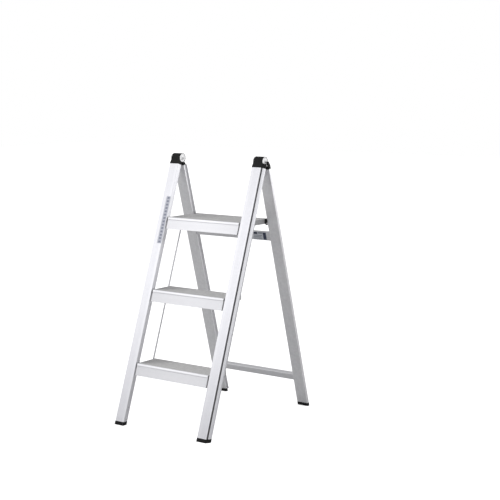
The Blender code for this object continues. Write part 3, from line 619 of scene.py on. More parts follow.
def rear_rows(side):
    """A rear rail's section drawn down its length, with the flange drawn back into the rail's
    side between the two ends of each notch."""
    face = fluted_face(0, REAR_WIDTH, REAR_NEAR, REAR_FLUTES, FLUTE_WIDTH, FLUTE_DEPTH, 1)
    flange = REAR_FAR - REAR_FLANGE_THICKNESS
    corners = face + [(REAR_WIDTH, REAR_FAR), (-REAR_FLANGE, REAR_FAR), (-REAR_FLANGE, flange),
                      (0, flange)]
    soft = [0.0009] + [0.00012] * (len(face) - 2) + [0.0009] * 2 + [0.0006, 0.0006, 0.0005]
    outline = rounded_outline(corners, soft)
    ends = rail_rows(outline, side, REAR_INNER, REAR_RAIL_TOP, RAIL_FOOT, REAR_LEAN)
    half = len(ends) // 2
    middle = []
    for along, share in zip(np.repeat(np.ravel(FLANGE_NOTCHES), 2), (1, 0, 0, 1, 1, 0, 0, 1)):
        u = np.where(outline[:, 0] < 0, outline[:, 0] * share, outline[:, 0])
        middle.append(leaning(side * (REAR_INNER + u), outline[:, 1], along, REAR_LEAN))
    return np.concatenate([ends[:half], np.array(middle), ends[half:]])


REAR_ALUMINIUM = anodised("rear_rail_anodising", (0.80, 0.80, 0.82), (0.70, 0.70, 0.72),
                          REAR_LEAN, ALONG_RAIL)
for name, side in SIDES.items():
    fit(skin(f"rear_rail_{name}_extrusion", rear_rows(side)), REAR_ALUMINIUM, "rear_frame",
        "satin_aluminium", f"rear_rail_{name}")

# ---------------------------------------------------------------------------------------------
# Crossbars. Two hollow rectangular aluminium bars join the rear rails, a thin one just below
# the top tread and a deeper one near the floor. Their ends are welded against the rails, and
# the upper one has a sticker on it, plain blocks on pale paper.
CROSSBAR_NEAR = 0.006
CROSSBARS = {"upper": (0.2650, 0.0325, 0.010), "lower": (0.8232, 0.0223, 0.020)}
CROSSBAR_HALF = 0.1657


def crossbar_rows(top, height, depth):
    """A rounded rectangle of depth and height carried from one rear rail to the other."""
    near, far = CROSSBAR_NEAR, CROSSBAR_NEAR + depth
    outline = rounded_outline([(near, -top - height), (far, -top - height), (far, -top),
                               (near, -top)], 0.0013)
    along, inset = eased_ends(-CROSSBAR_HALF, CROSSBAR_HALF, 0.0003)
    section = drawn_in(outline, inset)
    return leaning(along[:, None], section[..., 0], section[..., 1], REAR_LEAN)


ALONG_BAR = (2.2, 330, 330)
BAR_ALUMINIUM = anodised("crossbar_anodising", (0.78, 0.78, 0.80), (0.69, 0.69, 0.71),
                         REAR_LEAN, ALONG_BAR)
STICKER_PAPER = (0.60, 0.62, 0.66)
STICKER_NAVY = (0.035, 0.045, 0.085)
STICKER_GREY = (0.28, 0.30, 0.34)
STICKER_BLOCKS = (((0.090, 0.151), (0.6255, 0.6560), STICKER_PAPER),
                  ((0.092, 0.112), (0.6470, 0.6545), STICKER_NAVY),
                  ((0.116, 0.134), (0.6490, 0.6545), STICKER_GREY),
                  ((0.136, 0.149), (0.6290, 0.6545), STICKER_NAVY),
                  ((0.094, 0.131), (0.6415, 0.6440), STICKER_GREY),
                  ((0.094, 0.128), (0.6360, 0.6385), STICKER_GREY),
                  ((0.094, 0.131), (0.6305, 0.6330), STICKER_GREY))
sticker = [patch(x, heights, CROSSBAR_NEAR, REAR_LEAN, colour)
           for x, heights, colour in STICKER_BLOCKS]
LABELLED_BAR = anodised("labelled_crossbar_anodising", (0.78, 0.78, 0.80), (0.69, 0.69, 0.71),
                        REAR_LEAN, ALONG_BAR, patches=sticker)
for name, (top, height, depth) in CROSSBARS.items():
    metal = LABELLED_BAR if name == "upper" else BAR_ALUMINIUM
    fit(skin(f"{name}_crossbar_extrusion", crossbar_rows(top, height, depth)), metal,
        "rear_frame", "satin_aluminium", f"{name}_crossbar")

# ---------------------------------------------------------------------------------------------
# Treads. Each is one aluminium extrusion: a ribbed top, a rolled nose, an apron that leans with
# the front rails and ends in a short return, and a flap at the back. Each turns on its pivots,
# and its ribbed top is coloured much darker than the rest: painted shade for the upward faces.
STEP_HEIGHTS = {"bottom": 0.2085, "middle": 0.4570, "top": 0.7055}
STEP_DEPTHS = {"bottom": 0.099, "middle": 0.099, "top": 0.170}
TREAD_HALF = 0.1560
TREAD_SKIN = 0.0022
TREAD_EDGE = 0.00015
NOSE_HEIGHT = 0.0085
NOSE_OVERHANG = 0.0016
APRON_HEIGHT = 0.0405
APRON_RETURN = 0.006
REAR_FLAP = 0.018
RIB_PITCH = 0.0026
RIB_DEPTH = 0.0007
RIBS_START = 0.0048
RIB_SLACK = 0.0004
RIB_FLOOR = 0.0012
SLOPE = math.tan(FRONT_LEAN)


def nose_y(height):
    """Where the front rails' face is at a height, which is where a tread's nose stands."""
    return HINGE_Y + FRONT_NEAR / math.cos(FRONT_LEAN) - (HINGE_HEIGHT - height) * SLOPE


def ribbed_top(depth):
    """Points back along a tread's top: ribs at an even pitch with sloping flanks between flat
    crests and flat roots, from just behind the nose to just before the rear edge."""
    count = int((depth - RIBS_START - RIB_PITCH) / RIB_PITCH)
    starts = RIBS_START + RIB_PITCH * np.arange(count)
    across = np.array([0.0, 0.14, 0.46, 0.60]) * RIB_PITCH
    down = np.array([0, -1, -1, 0]) * RIB_DEPTH
    return list(zip((starts[:, None] + across).ravel(), np.tile(down, count)))


def tread_outline(depth):
    """Side outline of a tread measured from its nose, going round from the top to the apron."""
    inside = NOSE_OVERHANG + TREAD_SKIN
    low = APRON_HEIGHT - TREAD_SKIN
    ribs = ribbed_top(depth)
    rest = [(depth, 0), (depth, -REAR_FLAP), (depth - TREAD_SKIN, -REAR_FLAP),
            (depth - TREAD_SKIN, -TREAD_SKIN), (inside - TREAD_SKIN * SLOPE, -TREAD_SKIN),
            (inside - low * SLOPE, -low), (inside + APRON_RETURN - low * SLOPE, -low),
            (inside + APRON_RETURN - APRON_HEIGHT * SLOPE, -APRON_HEIGHT),
            (NOSE_OVERHANG - APRON_HEIGHT * SLOPE, -APRON_HEIGHT),
            (NOSE_OVERHANG - NOSE_HEIGHT * SLOPE, -NOSE_HEIGHT),
            (-NOSE_HEIGHT * SLOPE, -NOSE_HEIGHT)]
    soft = [0.0016] + [0.00010] * len(ribs)
    soft += [0.0009, 0.0007, 0.0007, 0.0005, 0.0005, 0.0005, 0.0006, 0.0006, 0.0009, 0.0005,
             0.0012]
    return rounded_outline([(0, 0)] + ribs + rest, soft, 3)


def carried_across(outline, low, high, y, z, edge):
    """A side outline set at y and z and carried in x from low to high with eased ends."""
    along, inset = eased_ends(low, high, edge)
    section = drawn_in(outline, inset)
    return points_at(along[:, None], y + section[..., 0], z + section[..., 1])


TREAD_ALUMINIUM = anodised("tread_anodising", (0.86, 0.86, 0.885), (0.77, 0.77, 0.80), 0.0,
                           ALONG_BAR)
# The ribbed top's darker colour is painted shade: the upward faces are drawn darker.
RIB_PAINTED_SHADE = anodised("tread_top_painted_shade", (0.43, 0.425, 0.42), (0.33, 0.325, 0.32), 0.0,
                         ALONG_BAR)
for name, height in STEP_HEIGHTS.items():
    rows = carried_across(tread_outline(STEP_DEPTHS[name]), -TREAD_HALF, TREAD_HALF,
                          nose_y(height), height, TREAD_EDGE)
    step = fit(skin(f"{name}_tread_extrusion", rows, 30), TREAD_ALUMINIUM, f"{name}_step",
               "ribbed_tread", f"{name}_tread")
    # The faces of the ribbed top take the painted-shade colour.
    ribs_from = nose_y(height) + RIBS_START - RIB_SLACK
    second_material(step, RIB_PAINTED_SHADE, lambda centre: centre.y > ribs_from
                    and centre.z > height - RIB_FLOOR)

# ---------------------------------------------------------------------------------------------
# End caps. A thin grey plastic plate closes each end of a tread. It carries the boss that the
# tread pivots on, and the top tread's have a black catch at the rear that hooks over the pegs.
CAP_INNER = 0.1563
CAP_OUTER = 0.1575
CATCH_INNER = 0.1490
CATCH_LENGTH = 0.026
CATCH_DEPTH = 0.0235
PIVOT_BACK = 0.009
PIVOT_DOWN = 0.006
PIVOT_BOSS = 0.005
BOSS_INNER = 0.1533
BOSS_EDGE = 0.0004
BOSS_SUNK = 0.0005
CAP_EDGE = 0.0004
CATCH_EDGE = 0.00025
CATCH_GAP = 0.0003
TIP = 0.0005
PEG_PLACE = (0.10630, 0.6900)
PEG_HOLD = 0.0043


def pivot_place(height):
    """Where a tread's pivot is: behind its nose and under its top, in the front rails' lean."""
    y = nose_y(height) + PIVOT_BACK * math.cos(FRONT_LEAN) - PIVOT_DOWN * math.sin(FRONT_LEAN)
    z = height - PIVOT_BACK * math.sin(FRONT_LEAN) - PIVOT_DOWN * math.cos(FRONT_LEAN)
    return y, z


def cap_outline(depth):
    """Side outline of an end cap: the tread's own outside, with a strip behind the apron that
    leaves room for the peg when the stool is folded."""
    strip = NOSE_OVERHANG + APRON_RETURN
    corners = [(0, 0), (depth, 0), (depth, -REAR_FLAP), (strip - REAR_FLAP * SLOPE, -REAR_FLAP),
               (strip - APRON_HEIGHT * SLOPE, -APRON_HEIGHT),
               (NOSE_OVERHANG - APRON_HEIGHT * SLOPE, -APRON_HEIGHT),
               (NOSE_OVERHANG - NOSE_HEIGHT * SLOPE, -NOSE_HEIGHT),
               (-NOSE_HEIGHT * SLOPE, -NOSE_HEIGHT)]
    soft = [0.0016, 0.0012, 0.0010, 0.0025, 0.0010, 0.0009, 0.0005, 0.0012]
    return rounded_outline(corners, soft)


def catch_outline(depth, y, z):
    """Side outline of a catch: a block under the tread's rear corner whose mouth is an arc over
    the peg, from behind it round to its upper front, and then opens downward and forward."""
    top = -TREAD_SKIN - CATCH_GAP
    end = depth - TREAD_SKIN - CATCH_GAP
    start = end - CATCH_LENGTH
    turn = np.radians(np.linspace(-12, 128, 15))
    across, up = PEG_PLACE[0] - y, PEG_PLACE[1] - z
    mouth = np.stack([across + PEG_HOLD * np.cos(turn), up + PEG_HOLD * np.sin(turn)], axis=-1)
    corners = [(end, top), (start, top), (start, -REAR_FLAP + 0.003),
               (mouth[-1, 0] - 0.0055, mouth[-1, 1] - 0.0055)]
    tail = [(mouth[0, 0] + 0.0008, -CATCH_DEPTH), (end, -CATCH_DEPTH)]
    return np.array(corners + mouth[::-1].tolist() + tail)


def joined(*shells):
    """Points and faces of several closed shells as one, each shell's numbers moved up."""
    points = np.concatenate([s[0] for s in shells])
    starts = np.cumsum([0] + [len(s[0]) for s in shells[:-1]])
    return points, [[i + int(start) for i in f] for s, start in zip(shells, starts) for f in s[1]]


def shell(rows):
    """Points and outward faces of a closed tube from rows of points."""
    points = rows.reshape(-1, 3)
    return points, outward(points, skin_faces(*rows.shape[:2]))


def spun(x, radius, y, z, steps=32):
    """A profile of distances along x and radii turned about the line at y and z: each row is a
    circle, and its first and last radius are small enough to close with one face."""
    turn = np.linspace(0, 2 * np.pi, steps, endpoint=False)
    x, radius = np.asarray(x, float)[:, None], np.asarray(radius, float)[:, None]
    return points_at(x, y + radius * np.cos(turn), z + radius * np.sin(turn))


def plastic_mould_group():
    """Spark-eroded texture of a moulding: a fine cellular grain over a broader cloud."""
    tree, add, link, into, out = group("mould_texture", [("Vector", "NodeSocketVector", None),
                            ("Grain Scale", "NodeSocketFloat", 900.0),
                            ("Cloud Scale", "NodeSocketFloat", 40.0)],
                            [("Grain", "NodeSocketFloat"), ("Cloud", "NodeSocketFloat")])
    grain = made(add, "ShaderNodeTexVoronoi", Randomness=1.0)
    cloud = made(add, "ShaderNodeTexNoise", Detail=4)
    link(into.outputs["Vector"], grain.inputs["Vector"])
    link(into.outputs["Grain Scale"], grain.inputs["Scale"])
    link(into.outputs["Vector"], cloud.inputs["Vector"])
    link(into.outputs["Cloud Scale"], cloud.inputs["Scale"])
    link(grain.outputs["Distance"], out.inputs["Grain"])
    link(cloud.outputs[0], out.inputs["Cloud"])
    return tree


MOULD = plastic_mould_group()
PLASTIC_SHINE = 0.14


def moulded(name, dark, light, scuff, roughness, grain=900.0, bump=0.25, scuffing=0.5,
            boxes=()):
    """Moulded plastic or rubber: clouded colour, a fine eroded grain and paler scuffed edges.
    Inside each box, given as its centre, half size and colour, it is another colour."""
    material = bpy.data.materials.new(name)
    tree, add, link = nodes_of(material)
    place = add("ShaderNodeTexCoord").outputs["Object"]
    mould = place_group(add, link, place, MOULD, grain_scale=grain)
    wear = place_group(add, link, place, EDGE_WEAR, patch_scale=220.0, reach=0.14)
    clouded = blended(add, link, (*dark, 1), (*light, 1), mould.outputs["Cloud"])
    scuffed = blended(add, link, clouded, (*scuff, 1),
                      ranged(add, link, wear.outputs["Wear"], 0.0, scuffing))
    for centre, half, colour in boxes:
        within = place_group(add, link, place, LABEL, centre=centre, half=half)
        scuffed = blended(add, link, scuffed, (*colour, 1), within.outputs["Inside"])
    surfaced(add, link, scuffed, ranged(add, link, mould.outputs["Cloud"], *roughness),
             mould.outputs["Grain"], bump, 0.0002, Specular_IOR_Level=PLASTIC_SHINE)
    return material


CAP_PLASTIC = moulded("black_cap_plastic", (0.004, 0.004, 0.0045), (0.009, 0.009, 0.0095),
                      (0.03, 0.03, 0.03), (0.40, 0.55))
CATCH_CORNER = ((0.0, PEG_PLACE[0], PEG_PLACE[1] + 0.004), (0.2, 0.0125, 0.0165),
                (0.006, 0.006, 0.0065))
END_PLASTIC = moulded("grey_end_cap_plastic", (0.36, 0.36, 0.365), (0.44, 0.44, 0.445),
                      (0.55, 0.55, 0.55), (0.45, 0.6), boxes=[CATCH_CORNER])
for name, height in STEP_HEIGHTS.items():
    y = nose_y(height)
    for label, side in SIDES.items():
        plate = carried_across(cap_outline(STEP_DEPTHS[name]), side * CAP_INNER,
                               side * CAP_OUTER, y, height, CAP_EDGE * side)
        boss_x = side * np.array([BOSS_INNER, BOSS_INNER, BOSS_INNER + BOSS_EDGE,
                                  CAP_INNER + BOSS_SUNK])
        boss = spun(boss_x, [TIP, PIVOT_BOSS - BOSS_EDGE, PIVOT_BOSS, PIVOT_BOSS],
                    *pivot_place(height))
        shells = [shell(plate), shell(boss)]
        if name == "top":
            catch = carried_across(catch_outline(STEP_DEPTHS[name], y, height),
                                   side * CATCH_INNER, side * (CAP_OUTER - 0.0002), y, height,
                                   CATCH_EDGE * side)
            shells.append(shell(catch))
        fit(add_piece(f"{name}_end_cap_{label}_moulding", *joined(*shells)), END_PLASTIC,
            f"{name}_step", "black_plastic", f"{name}_end_cap_{label}")

# ---------------------------------------------------------------------------------------------
# Hinge caps. The front pair are forks of black plastic that plug into the front rails, and the
# rear pair have a tongue that turns between their cheeks and an ear beside the outer one. A web
# on the fork's outer side rises from its collar and holds the lower edge of the disc.
BARREL = 0.017
BARREL_BACK = 0.0018
BROW = 0.005
TONGUE = 0.008
TONGUE_PLAY = 0.0010
SLOT = 0.0086
CHEEK = 0.0098
CAP_ROUND = 0.0005
FRONT_CAP_FOOT = -0.0257
FRONT_COLLAR = 0.0026
WEB_TOP = -0.0095
WEB_LOW = -0.0140
REAR_CAP_FOOT = -0.0297
REAR_COLLAR = 0.0075
EAR_THICKNESS = 0.0052
DISC_POCKET = 0.0148
DISC_ROOM = 0.0020
POCKET_TURN = (-78.3, -142)
ARC_POINTS = 30
BROW_POINTS = 16


def circle(y, z, radius, start, end, count):
    """Points (y + radius cos a, z + radius sin a) for angles a from start to end in degrees."""
    turn = np.radians(np.linspace(start, end, count))
    return np.stack([y + radius * np.cos(turn), z + radius * np.sin(turn)], axis=-1)


def resampled(corners, count):
    """Points at even distances along a path of straight pieces."""
    corners = np.asarray(corners, float)
    run = np.concatenate([[0], np.cumsum(np.linalg.norm(np.diff(corners, axis=0), axis=1))])
    places = np.linspace(0, run[-1], count)
    return np.stack([np.interp(places, run, corners[:, i]) for i in (0, 1)], axis=-1)


def fork_outlines():
    """Side outlines of a fork, all with the same number of points: a cheek, the hood between
    the cheeks, the web outside the disc's pocket, and the web in front of the disc."""
    roof = math.degrees(math.asin(SLOT / BARREL))
    start = -math.degrees(math.acos((FRONT_FAR - BARREL_BACK) / BARREL))
    rear = circle(BARREL_BACK, 0, BARREL, start, roof, ARC_POINTS)
    over = circle(BARREL_BACK, 0, BARREL, roof + 4, 88, ARC_POINTS)
    brow = circle(BARREL_BACK, BROW, BARREL - BROW, 92, 180, BROW_POINTS)
    front = BARREL_BACK + BROW - BARREL
    leg = np.array([(front, -BROW), (FRONT_NEAR, FRONT_CAP_FOOT + FRONT_COLLAR),
                    (FRONT_NEAR, FRONT_CAP_FOOT), (FRONT_FAR, FRONT_CAP_FOOT)])
    round_slot = circle(0, 0, SLOT, 270, 90, ARC_POINTS)
    slot = resampled(np.concatenate([[(FRONT_FAR, rear[0, 1]), (FRONT_FAR, -SLOT)], round_slot,
                                     [rear[-1]]]), ARC_POINTS)
    cheek = np.concatenate([rear, over, brow, leg])
    hood = np.concatenate([slot, over, brow, leg])
    count = 2 * ARC_POINTS + BROW_POINTS
    bowl = circle(0, 0, DISC_POCKET, *POCKET_TURN, count)
    pocket = np.concatenate([bowl, [bowl[-1] * 1.002], leg[1:]])
    share = (WEB_TOP + BROW) / (leg[1, 1] + BROW)
    brim = leg[0] + (leg[1] - leg[0]) * share
    brink = resampled([(FRONT_FAR, WEB_LOW), brim], count)
    web = np.concatenate([brink, [brim + (leg[1] - brim) * 0.02], leg[1:]])
    return cheek, hood, pocket, web


def squeezed(outline, u):
    """An outline drawn back toward the rail's rear side, as far as the slanting outer side has
    come at a distance u from the inner face."""
    near = np.interp(u, [FRONT_FACE, FRONT_WIDTH], [FRONT_NEAR, SHOULDER])
    share = (FRONT_FAR - near) / (FRONT_FAR - FRONT_NEAR)
    return np.stack([FRONT_FAR + (outline[:, 0] - FRONT_FAR) * share, outline[:, 1]], axis=-1)


def tongue_outline():
    """A small barrel about the hinge with a leg behind it, in as many points as a collar."""
    end = 360 - math.degrees(math.acos(REAR_NEAR / TONGUE))
    back = REAR_FAR - 0.0003
    barrel = circle(0, 0, TONGUE, 90, end, ARC_POINTS - 1)
    return np.concatenate([[(back, -TONGUE / 2)], barrel,
                           [(REAR_NEAR, REAR_CAP_FOOT), (back, REAR_CAP_FOOT)]])


def collar_outline(top):
    """A rectangle up to a height, with as many points on its top as a tongue's barrel."""
    edge = resampled([(REAR_FAR, top), (REAR_NEAR, top)], ARC_POINTS)
    return np.concatenate([edge, [(REAR_NEAR, REAR_CAP_FOOT), (REAR_FAR, REAR_CAP_FOOT)]])


def ear_outline():
    """The ear's outline: up its back, over its sloping top and to its front."""
    low = REAR_CAP_FOOT + REAR_COLLAR / 2
    edge = resampled([(REAR_FAR, low), (REAR_FAR, -0.018), (REAR_NEAR + 0.006, -0.003),
                      (REAR_NEAR, -0.003)], ARC_POINTS)
    return np.concatenate([edge, [(REAR_NEAR, REAR_CAP_FOOT), (REAR_FAR, REAR_CAP_FOOT)]])


def stepped_rows(stations, side, lean):
    """Rows of a moulding whose side outline changes at steps: each station is a distance in x
    and the outline that holds there."""
    x = side * np.array([s[0] for s in stations])[:, None]
    outline = np.array([s[1] for s in stations])
    return leaning(x, outline[..., 0], outline[..., 1], lean)


def softened(piece, width, segments=3):
    """Round a moulding's sharp edges."""
    bevel = piece.modifiers.new("moulded_edges", "BEVEL")
    bevel.width = width
    bevel.segments = segments
    bevel.limit_method = "ANGLE"
    bevel.angle_limit = math.radians(32)
    bevel.harden_normals = False
    bevel.use_clamp_overlap = True
    return piece


def front_cap_rows(side):
    """Cheek, hood, cheek, disc pocket and web of a front cap, from its inner face outward."""
    cheek, hood, pocket, web = fork_outlines()
    inner_cheek = FRONT_FACE - CHEEK
    room = FRONT_FACE + DISC_ROOM
    stations = [(0, cheek), (CHEEK, cheek), (CHEEK, hood), (inner_cheek, hood),
                (inner_cheek, cheek), (FRONT_FACE, cheek), (FRONT_FACE, pocket),
                (room, squeezed(pocket, room)), (room, squeezed(web, room)),
                (FRONT_WIDTH, squeezed(web, FRONT_WIDTH))]
    return stepped_rows([(FRONT_INNER + u, o) for u, o in stations], side, -FRONT_LEAN)


def rear_cap_rows(side):
    """Collar, tongue, collar and ear of a rear cap, from its inner edge to its outer face."""
    tongue, ear = tongue_outline(), ear_outline()
    collar = collar_outline(REAR_CAP_FOOT + REAR_COLLAR)
    leg = collar_outline(-math.sqrt(TONGUE ** 2 - REAR_NEAR ** 2))
    low = FRONT_INNER + CHEEK + TONGUE_PLAY
    high = FRONT_INNER + FRONT_FACE - CHEEK - TONGUE_PLAY
    outer = REAR_INNER + REAR_WIDTH
    stations = [(REAR_INNER, collar), (low, collar), (low, leg), (low, tongue), (high, tongue),
                (high, leg), (high, collar),
                (outer - EAR_THICKNESS, collar), (outer - EAR_THICKNESS, ear), (outer, ear)]
    return stepped_rows(stations, side, REAR_LEAN)


for name, side in SIDES.items():
    fit(softened(skin(f"front_hinge_cap_{name}_moulding", front_cap_rows(side)), CAP_ROUND),
        CAP_PLASTIC, "front_frame", "black_plastic", f"front_hinge_cap_{name}")
    fit(softened(skin(f"rear_hinge_cap_{name}_moulding", rear_cap_rows(side)), CAP_ROUND),
        CAP_PLASTIC, "rear_frame", "black_plastic", f"rear_hinge_cap_{name}")

# ---------------------------------------------------------------------------------------------
# Hinge discs and rivets. A bright pressed disc covers each face of a hinge, with a shallow ring
# pressed into it, and a tubular steel rivet through both holds the hinge together.
DISC_RADIUS = 0.0145
DISC_THICKNESS = 0.0014
PIN_HEAD = 0.0055
PIN_HEAD_HEIGHT = 0.0010
SEAT = 0.0003


def disc_profile(seat, way):
    """Distance along x and radius of a disc from the middle of its back to the middle of its
    front: a flat back, a rolled rim, and a ring pressed into the front."""
    out = np.array([0, 0, 0.0003, 0.0010, 0.0013, DISC_THICKNESS, DISC_THICKNESS, 0.0009, 0.0009,
                    DISC_THICKNESS, DISC_THICKNESS])
    radius = np.array([0.0005, DISC_RADIUS - 0.0003, DISC_RADIUS, DISC_RADIUS,
                       DISC_RADIUS - 0.0003, DISC_RADIUS - 0.0010, 0.0112, 0.0106, 0.0094,
                       0.0088, 0.0005])
    return seat + way * out, radius


def rivet_profile(low, high, way):
    """Distance and radius of a tubular rivet from the hollow in its lower head, round that head,
    through the hinge and round the upper head into its hollow."""
    head = np.array([0.0006, -PIN_HEAD_HEIGHT, -PIN_HEAD_HEIGHT, -0.7 * PIN_HEAD_HEIGHT,
                     -0.3 * PIN_HEAD_HEIGHT, 0, 0])
    radius = np.array([0.0014, 0.0019, 0.0040, 0.0050, PIN_HEAD, PIN_HEAD, 0.0040])
    out = np.concatenate([low + head, (high - head)[::-1]])
    return way * out, np.concatenate([radius, radius[::-1]])


def bare_metal(name, light, dark, roughness, scale, metallic=1.0, bump=0.10):
    """Plated or polished steel: cloudy plating that is darker in patches, and rubbed edges."""
    material = bpy.data.materials.new(name)
    tree, add, link = nodes_of(material)
    place = add("ShaderNodeTexCoord").outputs["Object"]
    marks = place_group(add, link, place, HANDLING, size=scale)
    wear = place_group(add, link, place, EDGE_WEAR, patch_scale=300.0, reach=0.10)
    plated = blended(add, link, (*light, 1), (*dark, 1), marks.outputs["Marks"])
    worn = blended(add, link, plated, (0.92, 0.92, 0.92, 1), wear.outputs["Wear"])
    surfaced(add, link, worn, ranged(add, link, marks.outputs["Marks"], *roughness),
             marks.outputs["Marks"], bump, 0.0002, Metallic=metallic)
    return material


DISC_METAL = bare_metal("bright_disc_metal", (0.97, 0.97, 0.97), (0.92, 0.92, 0.92),
                        (0.45, 0.60), 160.0, 0.25)
ZINC = bare_metal("zinc_plated_steel", (0.62, 0.62, 0.63), (0.46, 0.46, 0.47), (0.30, 0.45), 240.0)
for name, side in SIDES.items():
    seats = {"inner": (FRONT_INNER - SEAT, -1), "outer": (FRONT_INNER + FRONT_FACE + SEAT, 1)}
    for place, (seat, way) in seats.items():
        x, radius = disc_profile(seat, way)
        fit(skin(f"hinge_disc_{place}_{name}_pressing",
                 spun(side * x, radius, HINGE_Y, HINGE_HEIGHT, 64)), DISC_METAL, "front_frame",
            "bright_disc", f"hinge_disc_{place}_{name}")
    inner = FRONT_INNER - 2 * SEAT - DISC_THICKNESS
    outer = FRONT_INNER + FRONT_FACE + 2 * SEAT + DISC_THICKNESS
    x, radius = rivet_profile(inner, outer, side)
    fit(skin(f"hinge_rivet_{name}_turning", spun(x, radius, HINGE_Y, HINGE_HEIGHT, 40)), ZINC,
        "front_frame", "zinc_steel", f"hinge_pin_{name}")

# ---------------------------------------------------------------------------------------------
# Pivot pins, link pins and pegs. Zinc plated rivets: a tread turns on one in each front rail, a
# link bar hangs on one in each end cap, and a plain peg in each rear rail holds the top tread.
PIN_RADIUS = 0.0025
PIVOT_HEAD = 0.0047
PIVOT_RISE = 0.001
PIVOT_SUNK = 0.0028
LINK_PIN = 0.0020
LINK_HEAD = 0.0032
LINK_RISE = 0.0005
LINK_REACH = 0.078
LINK_DROP = 0.0065
LINK_INNER = 0.1581
LINK_OUTER = 0.1601


def domed_head(x, radius, rise, way, steps=5):
    """Distance and radius of a low dome on a plane x: a quarter ellipse from its rim to its
    middle, rise high, with the middle left as a small flat."""
    turn = np.linspace(0, np.pi / 2 * 0.96, steps)
    return x + way * rise * np.sin(turn), radius * np.cos(turn)


def headed_pin(name, head_x, shank_x, head, shank, rise, side, y, z):
    """A domed rivet from its head to its shank's end, along x at y and z. side tells right from
    left, and the head faces away from the shank."""
    way = 1 if head_x > shank_x else -1
    dome_x, dome_r = domed_head(head_x, head, rise, way)
    x = np.concatenate([dome_x[::-1], [head_x, shank_x, shank_x]])
    radius = np.concatenate([dome_r[::-1], [shank, shank, 0.0004]])
    return skin(name, spun(side * x, radius, y, z, 28))


for name, height in STEP_HEIGHTS.items():
    y, z = pivot_place(height)
    for label, side in SIDES.items():
        fit(headed_pin(f"{name}_pivot_pin_{label}_turning", BOSS_INNER - SEAT,
                       FRONT_INNER + PIVOT_SUNK, PIVOT_HEAD, PIN_RADIUS, PIVOT_RISE, side, y, z),
            ZINC, "front_frame", "zinc_steel", f"{name}_pivot_pin_{label}")
        fit(headed_pin(f"{name}_link_pin_{label}_turning", LINK_OUTER + SEAT, CAP_INNER - SEAT,
                       LINK_HEAD, LINK_PIN, LINK_RISE, side, y + LINK_REACH, z - LINK_DROP),
            ZINC, f"{name}_step", "zinc_steel", f"{name}_link_pin_{label}")
PEG_INNER = 0.1503
PEG_OUTER = 0.1688
PEG_RADIUS = 0.004
for name, side in SIDES.items():
    x = side * np.array([PEG_INNER, PEG_INNER, PEG_INNER + 0.0004, PEG_INNER + 0.001, PEG_OUTER,
                         PEG_OUTER])
    radius = [0.0005, PEG_RADIUS - 0.001, PEG_RADIUS - 0.0004, PEG_RADIUS, PEG_RADIUS, 0.0005]
    fit(skin(f"catch_peg_{name}_turning", spun(x, radius, *PEG_PLACE, 36)), ZINC, "rear_frame",
        "zinc_steel", f"catch_peg_{name}")

# ---------------------------------------------------------------------------------------------
# Link bars. A flat aluminium bar with rounded ends on each side, inside the front rails, hangs
# on the treads' link pins, so that the three treads rise and fall together.
LINK_WIDTH = 0.007


def link_rows(side, top, bottom):
    """A stadium outline, two half circles about the top and bottom pins, carried through the
    bar's thickness with rounded edges. Both centres are (y, z)."""
    down = np.array(bottom) - np.array(top)
    heading = math.atan2(down[1], down[0])
    turn = np.linspace(-np.pi / 2, np.pi / 2, 13)
    half = LINK_WIDTH / 2
    lower = np.stack([half * np.cos(heading + turn), half * np.sin(heading + turn)], axis=-1)
    outline = np.concatenate([lower + bottom, -lower + top])
    x, inset = eased_ends(LINK_INNER, LINK_OUTER, 0.0004)
    section = drawn_in(outline, inset)
    return points_at(side * x[:, None], section[..., 0], section[..., 1])


LINK_ALUMINIUM = anodised("link_bar_anodising", (0.66, 0.66, 0.68), (0.56, 0.56, 0.58),
                          -FRONT_LEAN, ALONG_RAIL, (0.38, 0.5))
for name, side in SIDES.items():
    ends = [np.array(pivot_place(STEP_HEIGHTS[step])) + np.array([LINK_REACH, -LINK_DROP])
            for step in ("top", "bottom")]
    fit(skin(f"link_bar_{name}_strip", link_rows(side, *ends)), LINK_ALUMINIUM, f"link_{name}",
        "satin_aluminium", f"link_bar_{name}")

# ---------------------------------------------------------------------------------------------
# Feet. Black rubber shoes as wide as the rails, with level grooves across the sole for grip. The
# plug that goes up inside each rail and the shallow band round the side are not built.
FOOT_HEIGHT = 0.0117
FRONT_SLANT = 1 / 3
REAR_ROUND = 0.001
SOLE_GROOVES = 4
SOLE_GROOVE_WIDTH = 0.0012
SOLE_GROOVE_DEPTH = 0.0011


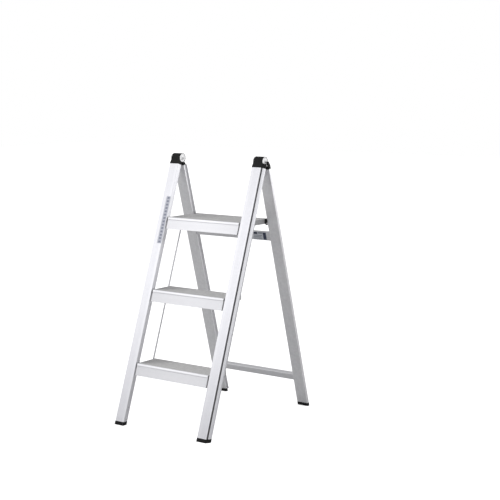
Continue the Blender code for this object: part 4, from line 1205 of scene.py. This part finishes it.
def sole_rows(side, inner, width, face, slant, near, far, lean):
    """A shoe's side outline carried across its width. The outline is the rail's own section
    continued down to the floor, a parallelogram between two heights, with square grooves at an
    even pitch along its bottom. Beyond the width of the face the outer side slants back, until
    only a share, slant, of the depth is left."""
    depth = np.array([near, far])
    low = leaning(0, depth, level_at(0, depth, lean), lean)[:, 1]
    high = leaning(0, depth, level_at(FOOT_HEIGHT, depth, lean), lean)[:, 1]
    pitch = (low[1] - low[0]) / (SOLE_GROOVES + 1)
    starts = low[0] + pitch * (np.arange(SOLE_GROOVES) + 1) - SOLE_GROOVE_WIDTH / 2
    across = (starts[:, None] + np.array([0, 0, 1, 1]) * SOLE_GROOVE_WIDTH).ravel()
    up = np.tile(np.array([0, 1, 1, 0]) * SOLE_GROOVE_DEPTH, SOLE_GROOVES)
    corners = [(low[0], 0)] + list(zip(across, up)) + [(low[1], 0), (high[1], FOOT_HEIGHT),
                                                       (high[0], FOOT_HEIGHT)]
    soft = [0.0009] + [0.00015] * len(across) + [0.0009, 0.0006, 0.0006]
    outline = rounded_outline(corners, soft, 3)
    x, inset = eased_ends(inner, inner + width, 0.0004)
    x, inset = np.insert(x, 4, inner + face), np.insert(inset, 4, 0.0)
    section = drawn_in(outline, inset)
    share = np.interp(x - inner, [face, width], [1.0, slant])[:, None]
    far_edge = np.interp(section[..., 1], [0, FOOT_HEIGHT], [low[1], high[1]])
    y = far_edge + (section[..., 0] - far_edge) * share
    return points_at(side * x[:, None], y, section[..., 1])


RUBBER = moulded("black_foot_rubber", (0.006, 0.006, 0.0065), (0.013, 0.013, 0.0135),
                 (0.04, 0.04, 0.04), (0.55, 0.75), 700.0, 0.35, 0.35)
for name, side in SIDES.items():
    rows = sole_rows(side, FRONT_INNER, FRONT_WIDTH, FRONT_FACE, FRONT_SLANT, FRONT_NEAR,
                     FRONT_FAR, -FRONT_LEAN)
    fit(skin(f"front_foot_{name}_shoe", rows), RUBBER, "front_frame", "black_rubber",
        f"front_foot_{name}")
    rows = sole_rows(side, REAR_INNER, REAR_WIDTH, REAR_WIDTH - REAR_ROUND, 1.0, REAR_NEAR,
                     REAR_FAR, REAR_LEAN)
    fit(skin(f"rear_foot_{name}_shoe", rows), RUBBER, "rear_frame", "black_rubber",
        f"rear_foot_{name}")

# ---------------------------------------------------------------------------------------------
# Foot rivets. Two small domed rivets through each rail's inner wall hold the foot's plug.
RIVET_HEIGHTS = {"lower": 0.020, "upper": 0.060}
RIVET_SHANK = 0.0018
RIVET_HEAD = 0.0030
RIVET_RISE = 0.0010
RIVET_LENGTH = 0.008
for kind, inner, middle, lean, body in (
        ("front", FRONT_INNER, (FRONT_NEAR + FRONT_FAR) / 2, -FRONT_LEAN, "front_frame"),
        ("rear", REAR_INNER, (REAR_NEAR + REAR_FAR) / 2, REAR_LEAN, "rear_frame")):
    for place, height in RIVET_HEIGHTS.items():
        y = float(leaning(0, middle, level_at(height, middle, lean), lean)[1])
        for name, side in SIDES.items():
            fit(headed_pin(f"{kind}_foot_rivet_{place}_{name}_turning", inner - SEAT,
                           inner + RIVET_LENGTH, RIVET_HEAD, RIVET_SHANK, RIVET_RISE, side, y,
                           height),
                ZINC, body, "zinc_steel", f"{kind}_foot_rivet_{place}_{name}")
